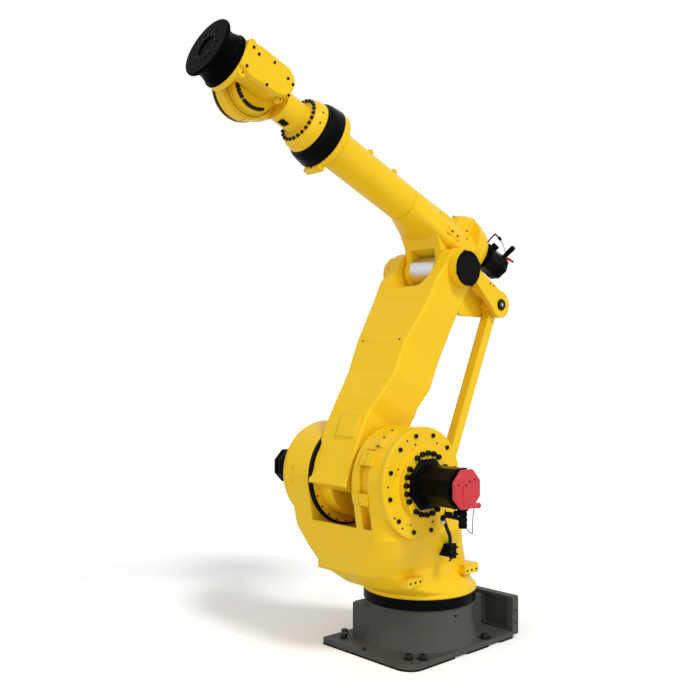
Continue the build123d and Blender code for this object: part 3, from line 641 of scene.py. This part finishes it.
# %% A tie round the lead, and its sleeves
def make_lead_dressing():
    sleeve_radius = 0.0150
    bm = bmesh.new()
    add_bar(bm, (0.4265, 0.5755, 0.938), (0.4140, 0.5675, 0.917), 0.0142)
    add_bar(bm, (0.4010, 0.5700, 0.934), (0.4120, 0.5720, 0.9300), 0.0055, segments=12)
    finish_piece("lead_tie", bm, "turret", "bright_steel")
    bm = bmesh.new()
    add_bar(bm, (0.448, 0.618, 0.9775), (0.449, 0.660, 0.981), sleeve_radius)
    add_bar(bm, (0.437, 0.588, 0.957), (0.4275, 0.5775, 0.9405), sleeve_radius)
    finish_piece("lead_sleeves", bm, "turret", "cable_rubber")


make_lead_dressing()

# %% [markdown]
# ## The clamp
# Two leads run on from the clamp, side by side under two straps. Each is a straight bar, so nothing is
# gained by a curve here. The screws stand on the straps, in the same two rows.


# %% The clamp and the leads bundled in it
def make_clamp_dressing():
    middle = 0.183
    spread = 0.015
    lead_radius = 0.0125
    strap_size = (0.070, 0.026, 0.012)
    strap_heights = (0.676, 0.718)
    clamp_head = (0.0055, 0.005)
    bm = bmesh.new()
    for x in (middle - spread, middle + spread):
        add_bar(bm, (x, 0.4475, 0.652), (x, 0.4475, 0.742), lead_radius)
    finish_piece("clamped_leads", bm, "turret", "cable_rubber")
    bm = bmesh.new()
    for z in strap_heights:
        add_block(bm, Vector((middle, 0.4500, z)), strap_size, forward, left, 0.003)
    finish_piece("clamp_straps", bm, "turret", "black_paint")
    scatter_screws("clamp_screws", "turret",
                   [(Vector((middle, 0.4628, z)), left, *clamp_head, 0.3) for z in strap_heights])


make_clamp_dressing()

# %% [markdown]
# ## The turret
# Black dots on the yellow casting, three on each small block, paint the shade inside its lifting holes, and
# one more black dot is a plug. Two yellow plugs close the far cheek. Every dot is let down onto the solid
# along its own axis, so it sits flush from any side. The holes are not cut; only their shade is painted.

# %% Dots on the turret
block_head = (0.0075, 0.0015)
block_rows = (((0.461, 0.417, 0.373), 0.5225), ((-0.077, -0.121, -0.169), 0.515))
turret_dots = []
# The black dots on the blocks paint the shade inside their lifting holes.
for side in (1, -1):
    for places, height in block_rows:
        turret_dots += at_points("turret_casting", [(x, 0.350 * side, height) for x in places], left * side,
                                 block_head)
turret_dots += at_points("turret_casting", [(0.063, 0.323, 0.602)], (0, 0.87, -0.49), (0.0095, 0.004))
scatter_plugs("turret_plug_and_hole_shade", "turret", turret_dots)
far_plugs = at_points("turret_casting", [(0.790, -0.337, 1.197), (0.790, -0.351, 1.116)], forward,
                      (0.017, 0.006))
scatter_plugs("far_cheek_plugs", "turret", far_plugs, slot="yellow_paint")

# %% [markdown]
# ## The far shoulder drive
# The far drive mirrors the near one, with a black cap in place of the red one. A mirrored copy would
# carry the jacking plugs over as well, so the screws are laid out afresh by the same function.

# %% Screws of the far reducer and its cap
screw_reducer(-1, "far", 0.286)
far_cap_out = 0.818
cap_sink = 0.004
far_cap_face = shoulder - left * far_cap_out
scatter_screws("far_cap_screws", "turret",
               [(point + left * cap_sink, *rest) for point, *rest in
                on_circle("far_motor_cap", far_cap_face, -left, 0.100, evenly(4, 22.5), (0.006, 0.004))])

# %% [markdown]
# ## The foot of the lower arm
# A black seal lies between the arm's disc and the far cheek, and a ring of small screws shows on the
# inner face of the disc. The seal is a spun section. A torus would be simpler, but the real lip is flat
# on its outside.

# %% Seal beside the lower arm
seal_section = ((0.3145, 0.1995), (0.3275, 0.1995), (0.3275, 0.172), (0.3235, 0.168), (0.3145, 0.168))
bm = bmesh.new()
spin_section(bm, shoulder, -left, seal_section, steps=96)
finish_piece("far_shoulder_seal", bm, "turret", "black_paint")

# %% Screws of the arm's disc
disc_face = shoulder - left * 0.165
scatter_screws("far_disc_screws", "lower_arm",
               on_circle("lower_arm_casting", disc_face, left, 0.3035, evenly(24, 7.5), (0.0062, 0.005)))

# %% [markdown]
# ## The stops
# Two blocks on the near cheek stop the arm at its limits. Their screws point away from the shoulder
# axis, so each one is let down along its own spoke, and they wear the yellow of the blocks. Three dark
# screws follow the rim of the cheek beside them.

# %% Screws of the cheek's rim and of the stop blocks
scatter_screws("cheek_rim_screws", "turret",
               on_rim("turret_casting", shoulder + left * 0.345, 0.333, (67, 54, 42), (0.0070, 0.004)))
stop_radius = 0.348
stop_head = (0.0085, 0.007)
stop_screws = on_rim("upper_stop_block", shoulder + left * 0.310, stop_radius, (23.5, 32.5), stop_head)
stop_screws += on_rim("lower_stop_block", shoulder + left * 0.272, stop_radius, (-17, -11), stop_head)
scatter_screws("stop_block_screws", "turret", stop_screws, slot="yellow_paint")

# %% [markdown]
# ## The base
# Six anchor bolts hold the base to the floor. Each one is a socket head on a thick washer, 45 mm wide
# as on an M30 bolt. Three smaller screws level the plate, and the side of the rear panel shows two
# threads. The plate is flat, so one height places the bolts and no ray is needed for them.

# %% Anchor bolts and levelling screws
plate_top = 0.045
washer_head = (0.030, 0.006)
washer_rise = 0.005
anchor_head = (0.0225, 0.026)
level_head = (0.0125, 0.016)
anchors = [(x, side * y) for x, y in ((0.355, 0.352), (-0.245, 0.352), (0.417, 0.292)) for side in (1, -1)]
levellers = [(0.497, -0.015, plate_top), (-0.266, 0.380, plate_top), (-0.266, -0.380, plate_top)]
scatter("anchor_washers", "base", "dark_steel", flat_washer,
        [(Vector((x, y, plate_top)), up, *washer_head, 0.0) for x, y in anchors])
scatter_screws("anchor_bolts", "base",
               [(Vector((x, y, plate_top + washer_rise)), up, *anchor_head, 0.4 + x) for x, y in anchors])
scatter_screws("levelling_screws", "base", at_points("base_casting", levellers, up, level_head))

# %% Plugged threads of the base
thread_head = (0.008, 0.002)
base_dots = at_points("base_casting", [(0.041, 0.350, 0.247)], (0.12, 0.99, 0), (0.009, 0.002))
base_dots += at_points("base_casting", [(0.453, side * 0.353, plate_top) for side in (1, -1)], up,
                       thread_head)
for side in (1, -1):
    base_dots += at_points("rear_panel", [(-0.531, side * 0.395, z) for z in (0.181, 0.100)], left * side,
                           thread_head)
scatter_plugs("base_thread_plugs", "base", base_dots)

# %% [markdown]
# ## The painted shadow under the base
# A black strip under the base plate paints the dark shadow line where the base meets the floor. Its
# outline is the outline of the base plate, so the base's own mesh is copied, cut off just above the
# floor and made a hair larger. Drawing the outline again would be more work, and it would no longer follow the
# casting.


# %% Black strip under the base plate, a painted shadow line
def make_painted_base_shadow():
    thickness = 0.011
    growth = (1.0012, 1.0016, 1.0)
    bm = bmesh.new()
    bm.from_mesh(solids["base_casting"].data)
    bmesh.ops.remove_doubles(bm, verts=bm.verts, dist=merge_gap)
    bmesh.ops.bisect_plane(bm, geom=bm.verts[:] + bm.edges[:] + bm.faces[:], plane_co=(0, 0, thickness),
                           plane_no=up, clear_outer=True)
    bmesh.ops.holes_fill(bm, edges=[rim for rim in bm.edges if rim.is_boundary], sides=0)
    bmesh.ops.scale(bm, verts=bm.verts, vec=growth)
    # The black strip paints the shadow where the base plate meets the floor.
    finish_piece("base_shadow_strip", bm, "base", "black_paint")


make_painted_base_shadow()

# %% [markdown]
# ## The rear panel
# Screws follow the edge of the panel's back. Both halves are alike, so the places are listed for one
# half and mirrored by their side.

# %% Screws on the back of the rear panel
panel_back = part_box("rear_panel")[0].x
panel_places = ((0.365, 0.040), (0.365, 0.147), (0.365, 0.254), (0.190, 0.040), (0.190, 0.254),
                (0.0, 0.040), (0.0, 0.254))
panel_points = [(panel_back, side * y, z) for side in (-1, 1) for y, z in panel_places]
scatter_screws("panel_screws", "base", at_points("rear_panel", panel_points, -forward, (0.0085, 0.006)))

# %% [markdown]
# ## The lower arm and the elbow
# Black covers close both ends of the elbow shaft. Four small tabs on each rim hold them, and a low ring
# stands on each face. The tabs are blocks turned to face outwards. They could be one tab, copied and
# rotated, but a loop over four angles says the same in fewer steps.


# %% Tabs and ring of the elbow covers
def make_elbow_tabs(name, side):
    axis = left * side
    face = elbow + axis * 0.324
    ring_section = ((0.104, 0.0125), (0.1148, 0.0125), (0.1148, 0.0127), (0.1120, 0.0142), (0.1060, 0.0142))
    bm = bmesh.new()
    for degree in (72, -18, -108, 162):
        out = spoke(degree)
        add_block(bm, face + out * 0.112 + axis * 0.006, (0.020, 0.012, 0.024), out, left, 0.003)
    spin_section(bm, face, axis, ring_section, steps=64)
    finish_piece(name, bm, "lower_arm", "black_paint")


make_elbow_tabs("near_cover_tabs", 1)
make_elbow_tabs("far_cover_tabs", -1)

# %% Small screws of the lower arm
front_screws = [(0.358, -0.171, 2.003), (0.353, 0.156, 2.011)]
scatter_screws("arm_front_screws", "lower_arm",
               at_points("lower_arm_casting", front_screws, (0.85, 0, 0.53), (0.0060, 0.004)))
for prefix, side in (("near", 1), ("far", -1)):
    housing_screws = on_rim(prefix + "_elbow_housing", elbow + left * 0.285 * side, 0.124, evenly(8, 15),
                            (0.0055, 0.004))
    scatter_screws(prefix + "_housing_screws", "lower_arm", housing_screws, slot="yellow_paint")

# %% [markdown]
# ## The forearm
# The root casting has a bolted pad, two lifting threads and the lever that takes the rod. Each screw
# has its own direction, because the casting is rounded there. They could be turned by hand one by one,
# but a direction and a ray are enough.


# %% Pad and screws of the forearm root
def make_root_pad():
    bm = bmesh.new()
    ahead = Vector((-0.052, 0.004, -0.028)).normalized()
    add_block(bm, Vector((-0.122, 0.2045, 2.716)), (0.120, 0.014, 0.050), ahead, left, 0.004)
    finish_piece("root_pad", bm, "forearm", "yellow_paint")


make_root_pad()
pad_head = (0.0075, 0.006)
low_head = (0.0065, 0.003)
lifting_head = (0.0085, 0.006)
root_screws = [(Vector((-0.096, 0.2105, 2.731)), left, *pad_head, 0.2),
               (Vector((-0.146, 0.2105, 2.703)), left, *pad_head, 0.9)]
root_screws += at_points("forearm_root", [(-0.346, 0.130, 2.766), (-0.330, 0.140, 2.748)], left, low_head)
root_screws += at_points("forearm_root", [(-0.254, 0.206, 2.695)], (-0.14, 0.94, 0.32), low_head)
root_screws += at_points("forearm_root", [(-0.276, 0.078, 2.872), (-0.352, 0.098, 2.880)], fore_up,
                         lifting_head)
scatter_screws("root_screws", "forearm", root_screws)
lever_places = [(-0.476, 0.230, 2.406), (-0.515, 0.230, 2.391)]
scatter_plugs("lever_thread_plugs", "forearm", at_points("forearm_root", lever_places, left, (0.0070, 0.002)))

# %% [markdown]
# ## The pins of the parallel link
# Each pin shows a dark head with a bright centre, because the pin is ground steel in a blackened collar.
# One material with a mask could show both, but two pieces keep the edge between them clean.

# %% Pin heads
link_reach = 0.523
lever_point = elbow - across * link_reach
crank_point = shoulder - across * link_reach


def make_pin_head(name, body, centre, out, radius, rise):
    hole = radius * 0.42
    face = centre + left * out
    bm = bmesh.new()
    spin_section(bm, face, left, ((hole, -0.001), (radius, -0.001), (radius, rise * 0.75),
                                  (radius * 0.92, rise), (hole, rise)), steps=40)
    finish_piece(name + "_collar", bm, body, "dark_steel")
    scatter(name + "_centre", body, "bright_steel", flat_boss, [(face, left, radius * 0.41, rise * 0.6, 0.0)])


make_pin_head("lever_pin", "forearm", lever_point, 0.2375, 0.036, 0.008)
make_pin_head("crank_pin", "crank", crank_point, 0.1985, 0.034, 0.0012)

# %% [markdown]
# ## The tube
# Three round bosses with a screw each stand along the upper side of the tube, and a lug hangs under its
# end. The bosses lean to the left, so their axis is worked out from the tube's own directions.

# %% Bosses along the tube
boss_lean = (fore_up * 0.80 + left * 0.60).normalized()
tube_rise = 0.290
boss_reach = 0.125
boss_head = (0.019, 0.014)
screw_rise = 0.0125
screw_head = (0.007, 0.005)
tube_aims = [elbow + fore * reach + fore_up * tube_rise + boss_lean * boss_reach
             for reach in (0.870, 0.640, 0.395)]
tube_spots = at_points("forearm_tube", tube_aims, boss_lean, boss_head, twist=0.0)
scatter("tube_bosses", "forearm", "yellow_paint", flat_boss, tube_spots)
scatter_screws("tube_boss_screws", "forearm",
               [(spot[0] + boss_lean * screw_rise, boss_lean, *screw_head, 0.0) for spot in tube_spots])


# %% Lug under the end of the tube
def make_end_lug():
    middle = pitch - fore * 0.569 - fore_up * 0.196 - left * 0.005
    bm = bmesh.new()
    add_block(bm, middle, (0.046, 0.142, 0.044), fore, left, 0.006)
    finish_piece("tube_end_lug", bm, "forearm", "yellow_paint")
    scatter_plugs("tube_end_lug_plug", "forearm",
                  [(middle + fore * 0.0225 - fore_up * 0.006, fore, 0.008, 0.002, 0.0)])


make_end_lug()

# %% [markdown]
# ## The wrist motors
# Three motors drive the wrist from behind. They are octagonal like the shoulder motors, so the same
# function builds them, with a flange at the front and a step near the back. Each one takes its place
# and length from the solid that it replaces.


# %% One wrist motor, as a housing that replaces its solid
def make_wrist_motor(node, radius, shift, shorter):
    corners = [v.co for v in solids[node].data.vertices]
    middle = sum(corners, Vector()) / len(corners)
    front = max(corner.dot(fore) for corner in corners)
    back = min(corner.dot(fore) for corner in corners)
    start = middle + fore * (front - middle.dot(fore)) + shift
    length = front - back - shorter
    flange_height = 0.020
    flange = radius * 1.04
    waist = radius * 0.97
    step = length - 0.052
    end = length - 0.0005
    bm = bmesh.new()
    outline = ((0, flange), (flange_height, flange), (flange_height, waist), (step, waist), (step, radius),
               (end, radius))
    add_octagon(bm, start, -fore, outline, soft=0.005)
    piece = finish_piece(node + "_housing", bm, "forearm", "black_paint")
    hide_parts(node)
    print("   length", round(length, 3), "radius", radius)


motor_radius = 0.0935
motor_rise = fore_up * 0.010
motor_spread = left * 0.018
make_wrist_motor("near_wrist_motor", motor_radius, motor_rise + motor_spread, 0.012)
make_wrist_motor("far_wrist_motor", motor_radius, motor_rise - motor_spread, 0.012)
make_wrist_motor("top_wrist_motor", 0.068, Vector(), 0.0)

# %% [markdown]
# ## The plug on the near wrist motor
# A ribbed plug leaves the motor sideways, with a red latch, and a bent rod guards it. The ribs could be
# part of one turned outline, as on the shoulder's plug. Here six short rings in a loop are shorter to
# write, and the bar inside them closes the gaps.


# %% Plug with its ribs
def make_wrist_plug():
    top = elbow - fore * 0.350 + fore_up * 0.363 + left * 0.188
    joint = Vector((-0.682, 0.214, 2.627))
    run = (Vector((-0.668, 0.285, 2.667)) - joint).normalized()
    rib_section = ((0.014, -0.0045), (0.0185, -0.003), (0.0185, 0.003), (0.014, 0.0045))
    bm = bmesh.new()
    add_block(bm, top, (0.046, 0.034, 0.034), fore, (fore_up + left).normalized(), 0.004)
    add_bar(bm, (-0.664, 0.186, 2.592), (-0.682, 0.216, 2.628), 0.0165)
    add_bar(bm, joint - run * 0.010, joint + run * 0.080, 0.0150)
    for count in range(6):
        spin_section(bm, joint + run * (0.008 + 0.013 * count), run, rib_section, steps=24)
    finish_piece("wrist_plug", bm, "forearm", "black_paint")


make_wrist_plug()


# %% Guard rod and latch of the plug
def make_wrist_bracket():
    bm = bmesh.new()
    add_wire(bm, [(-0.520, 0.176, 2.700), (-0.518, 0.190, 2.716), (-0.582, 0.190, 2.762),
                  (-0.632, 0.190, 2.736)], 0.0052, 12)
    add_bar(bm, (-0.624, 0.190, 2.741), (-0.644, 0.190, 2.728), 0.0110, segments=12)
    add_wire(bm, [(-0.640, 0.190, 2.731), (-0.672, 0.192, 2.690), (-0.680, 0.206, 2.640)], 0.0022, 8)
    finish_piece("wrist_bracket", bm, "forearm", "black_paint")
    bm = bmesh.new()
    add_bar(bm, (-0.676, 0.196, 2.606), (-0.690, 0.240, 2.584), 0.0105)
    add_bar(bm, (-0.688, 0.236, 2.586), (-0.695, 0.262, 2.568), 0.0080)
    finish_piece("wrist_plug_latch", bm, "forearm", "red_cap")


make_wrist_bracket()

# %% [markdown]
# ## The neck
# Twenty-four screws hold the neck to its reducer. The forearm leans, so this circle is laid out from
# the forearm's own directions, and not from forward and up. A small black plate lies on the underside.
# Its direction is given roughly and then made square to the forearm, so that it lies flat.

# %% Screws round the foot of the neck, and black dots that paint the shade in two holes
neck_face = pitch - fore * 0.350
neck_rim = pitch - fore * 0.392
scatter_screws("neck_screws", "wrist_roll",
               on_circle("wrist_neck", neck_face, fore, 0.1310, evenly(24, 6), (0.0110, 0.014),
                         fore_up, left))
# Two black dots on the rim paint the shade inside two holes.
scatter_plugs("neck_hole_shade_dots", "wrist_roll",
              on_rim("wrist_neck", neck_rim, 0.160, (73, 99), (0.0065, 0.002), fore_up, left))


# %% Cover plate under the neck
def make_neck_plate():
    below = Vector((0.38, 0.10, -0.92))
    out = (below - fore * below.dot(fore)).normalized()
    place = seat("wrist_neck", (1.196, 0.020, 3.258), out)
    bm = bmesh.new()
    add_block(bm, place - fore * 0.012, (0.054, 0.050, 0.005), fore, out.cross(fore), 0.0018)
    finish_piece("neck_plate", bm, "wrist_roll", "black_paint")


make_neck_plate()

# %% [markdown]
# ## The pitch drive
# A yellow ring carries two packed arcs of screws round the pitch axis. The axis is level, so the ring
# is laid out with the same spokes as the shoulder's. The screws stand on the ring, whose height is
# known, so they need no ray.


# %% Ring and screws of the pitch drive
def make_pitch_ring():
    ring_section = ((0.060, -0.0385), (0.1500, -0.0385), (0.1515, -0.035), (0.1515, 0.004), (0.1490, 0.0065),
                    (0.060, 0.0065))
    screw_ring = 0.1365
    screw_foot = 0.006
    ring_head = (0.0093, 0.021)
    first = -8
    step = 7.9
    bm = bmesh.new()
    spin_section(bm, pitch, left, ring_section, steps=96)
    finish_piece("pitch_ring", bm, "wrist_pitch", "yellow_paint")
    arcs = list(range(5)) + [k + 5.4 for k in range(8)]
    spots = []
    for turn in (0, 180):
        for place in arcs:
            out = spoke(first - step * place + turn)
            spots.append((pitch + out * screw_ring + left * screw_foot, left, *ring_head, place * 0.9))
    scatter_screws("pitch_ring_screws", "wrist_pitch", spots)


make_pitch_ring()

# %% Seam and seal of the pitch hub
hub_lines = {
    "hub_seam": ((0.1650, -0.0405), (0.1650, -0.0388), (0.1680, -0.0388), (0.1680, -0.0405)),
    "hub_seal": ((0.1500, -0.1735), (0.1735, -0.1735), (0.1782, -0.150), (0.1500, -0.150)),
}
for name, section in hub_lines.items():
    bm = bmesh.new()
    spin_section(bm, pitch, left, section, steps=96)
    finish_piece(name, bm, "wrist_roll", "black_paint")

# %% [markdown]
# ## The pitch head
# The cover of the head stands a little prouder than its solid and reaches forward to the flange. It
# could be drawn anew. Here the solid's own mesh is copied and merged, and two groups of its corners are
# moved, so that the outline stays the same.


# %% Cover of the pitch head, carried forward to the flange
cover_front = 0.2205
cover_rise = 0.0175
front_band = 0.045
top_band = 0.001


def make_head_cover():
    bm = bmesh.new()
    bm.from_mesh(solids["head_cover"].data)
    bmesh.ops.remove_doubles(bm, verts=bm.verts, dist=merge_gap)
    reach = max((v.co - pitch).dot(fore) for v in bm.verts)
    outer = max(v.co.y for v in bm.verts)
    front = [v for v in bm.verts if (v.co - pitch).dot(fore) > reach - front_band]
    bmesh.ops.translate(bm, verts=front, vec=fore * (cover_front - reach))
    top = [v for v in bm.verts if v.co.y > outer - top_band]
    bmesh.ops.translate(bm, verts=top, vec=left * cover_rise)
    print("cover grows forward by", round(cover_front - reach, 3))
    piece = finish_piece("head_front_cover", bm, "wrist_pitch", "yellow_paint")
    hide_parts("head_cover")


make_head_cover()

# %% Screws of the head cover
head_places = ((0.180, 0.078), (0.136, 0.064), (0.179, -0.044), (0.029, 0.088), (-0.086, 0.063),
               (-0.128, 0.052), (0.026, -0.058), (-0.126, -0.022))
head_points = [pitch + fore * ahead + fore_up * rise + left * 0.148 for ahead, rise in head_places]
scatter_screws("head_screws", "wrist_pitch",
               [(point + left * cover_rise, *rest) for point, *rest in
                at_points("head_cover", head_points, left, (0.0085, 0.007))])


# %% Lugs of the pitch head
def make_head_lugs():
    """A place is ahead, rise, start, end and radius."""
    places = ((0.170, 0.126, 0.096, 0.122, 0.027), (0.178, -0.080, 0.060, 0.146, 0.026),
              (-0.112, -0.048, 0.086, 0.121, 0.019))
    chamfer = 0.004
    dot_head = (0.0055, 0.0015)
    dot_sink = 0.0005
    bm = bmesh.new()
    dots = []
    for ahead, rise, start, end, radius in places:
        foot = pitch + fore * ahead + fore_up * rise
        crown = foot + left * (end - chamfer)
        add_bar(bm, foot + left * start, crown, radius, segments=32)
        add_bar(bm, crown, foot + left * end, radius, radius - chamfer, segments=32)
        dots.append((foot + left * (end - dot_sink), left, *dot_head, 0.0))
    finish_piece("head_lugs", bm, "wrist_pitch", "yellow_paint")
    scatter_plugs("head_lug_plugs", "wrist_pitch", dots)


make_head_lugs()

# %% [markdown]
# ## The last two circles
# Twelve screws hold the far cover of the wrist, and twelve smaller ones hold the tool flange to its
# drive. Both are circles on a flat face, so the shared function is enough.

# %% Screws of the far wrist cover
cover_face = pitch - left * 0.190
scatter_screws("far_wrist_screws", "wrist_roll",
               on_circle("far_wrist_cover", cover_face, -left, 0.150, evenly(12, 15), (0.0075, 0.006)))

# %% Inner screws of the tool flange
scatter_screws("flange_screws", "tool",
               on_circle("tool_flange", tool_face, fore, 0.0775, evenly(12, 15), (0.0060, 0.004),
                         fore_up, left))

# %% [markdown]
# ## The studio
# The arm stands on a pale floor. A key lamp shines from its left and above, and two softer lamps fill in
# from the side and from the front. The floor could simply be bright, but its light would then
# wash out the paint from below. So the camera sees one floor, and the arm is lit by a duller one.


# %% Floor
def make_floor():
    half_width = 60.0
    seen_by_camera = (1.42, 1.42, 1.42, 1)
    seen_by_arm = (0.93, 0.93, 0.93, 1)
    bm = bmesh.new()
    bmesh.ops.create_grid(bm, x_segments=1, y_segments=1, size=half_width)
    mesh = keep_mesh("studio_floor", bm)
    floor = show_object("studio_floor", mesh)
    material = bpy.data.materials.new("studio_floor")
    material.use_nodes = True
    nodes = material.node_tree.nodes
    shader = preset(nodes["Principled BSDF"],
                    {"Base Color": seen_by_arm, "Roughness": 0.9, "Specular IOR Level": 0.0})
    shown = preset(nodes.new("ShaderNodeBsdfDiffuse"), {"Color": seen_by_camera})
    rays = nodes.new("ShaderNodeLightPath")
    mix = nodes.new("ShaderNodeMixShader")
    link = material.node_tree.links.new
    link(rays.outputs["Is Camera Ray"], mix.inputs["Fac"])
    link(shader.outputs[0], mix.inputs[1])
    link(shown.outputs[0], mix.inputs[2])
    link(mix.outputs[0], nodes["Material Output"].inputs["Surface"])
    mesh.materials.append(material)
    print("floor:", 2 * half_width, "m wide")


make_floor()

# %% [markdown]
# ## The sky
# The sky is plain. Only the camera and mirror-like paths see it pure white, and everything else gets a
# much weaker glow. A photograph of a studio would light the arm as well, but it would need a file.


# %% Sky
def make_sky():
    glow_strength = 0.38
    white = (1, 1, 1, 1)
    world = bpy.data.worlds.new("studio_sky")
    world.use_nodes = True
    bpy.context.scene.world = world
    nodes = world.node_tree.nodes
    link = world.node_tree.links.new
    nodes.clear()
    out = nodes.new("ShaderNodeOutputWorld")
    seen = preset(nodes.new("ShaderNodeBackground"), {"Color": white, "Strength": 1.0})
    glow = preset(nodes.new("ShaderNodeBackground"), {"Color": white, "Strength": glow_strength})
    rays = nodes.new("ShaderNodeLightPath")
    mirror = add_math(nodes, "MAXIMUM", {})
    either = add_math(nodes, "MAXIMUM", {})
    mix = nodes.new("ShaderNodeMixShader")
    link(rays.outputs["Is Glossy Ray"], mirror.inputs[0])
    link(rays.outputs["Is Transmission Ray"], mirror.inputs[1])
    link(rays.outputs["Is Camera Ray"], either.inputs[0])
    link(mirror.outputs[0], either.inputs[1])
    link(either.outputs[0], mix.inputs["Fac"])
    link(glow.outputs[0], mix.inputs[1])
    link(seen.outputs[0], mix.inputs[2])
    link(mix.outputs[0], out.inputs["Surface"])
    print("sky glow:", glow_strength)


make_sky()


# %% Lamps
def add_sun(name, towards, strength, softness):
    lamp = bpy.data.lights.new(name, "SUN")
    lamp.energy = strength
    lamp.angle = softness
    holder = show_object(name, lamp)
    holder.rotation_mode = "QUATERNION"
    holder.rotation_quaternion = Vector(towards).to_track_quat("Z", "Y")
    holder.location = Vector(towards) * 10
    print(name, strength)


add_sun("key_light", (0.04, 0.72, 0.69), 1.42, 0.24)
add_sun("side_light", (0.28, 0.95, 0.02), 0.75, 0.9)
add_sun("front_light", (0.90, 0.00, 0.43), 0.58, 0.9)

# %% [markdown]
# ## The camera
# The camera stands in front of the arm and to its left, at half the arm's height. It could be turned
# with three angles. A yaw and a tilt give a direction to look in, and the camera stays level.


# %% Camera
def make_camera():
    yaw = 3.9596
    tilt = 0.0110
    lens = bpy.data.cameras.new("studio_camera")
    lens.sensor_width = 36.0
    lens.sensor_fit = "HORIZONTAL"
    lens.lens = 45.43
    lens.clip_end = 200.0
    camera = show_object("studio_camera", lens)
    camera.location = (4.3924, 4.0102, 1.8801)
    look = Vector((math.cos(yaw) * math.cos(tilt), math.sin(yaw) * math.cos(tilt), math.sin(tilt)))
    camera.rotation_mode = "QUATERNION"
    camera.rotation_quaternion = look.to_track_quat("-Z", "Y")
    bpy.context.scene.camera = camera
    print("camera lens:", lens.lens, "mm")


make_camera()
bpy.context.scene.view_settings.view_transform = "Standard"
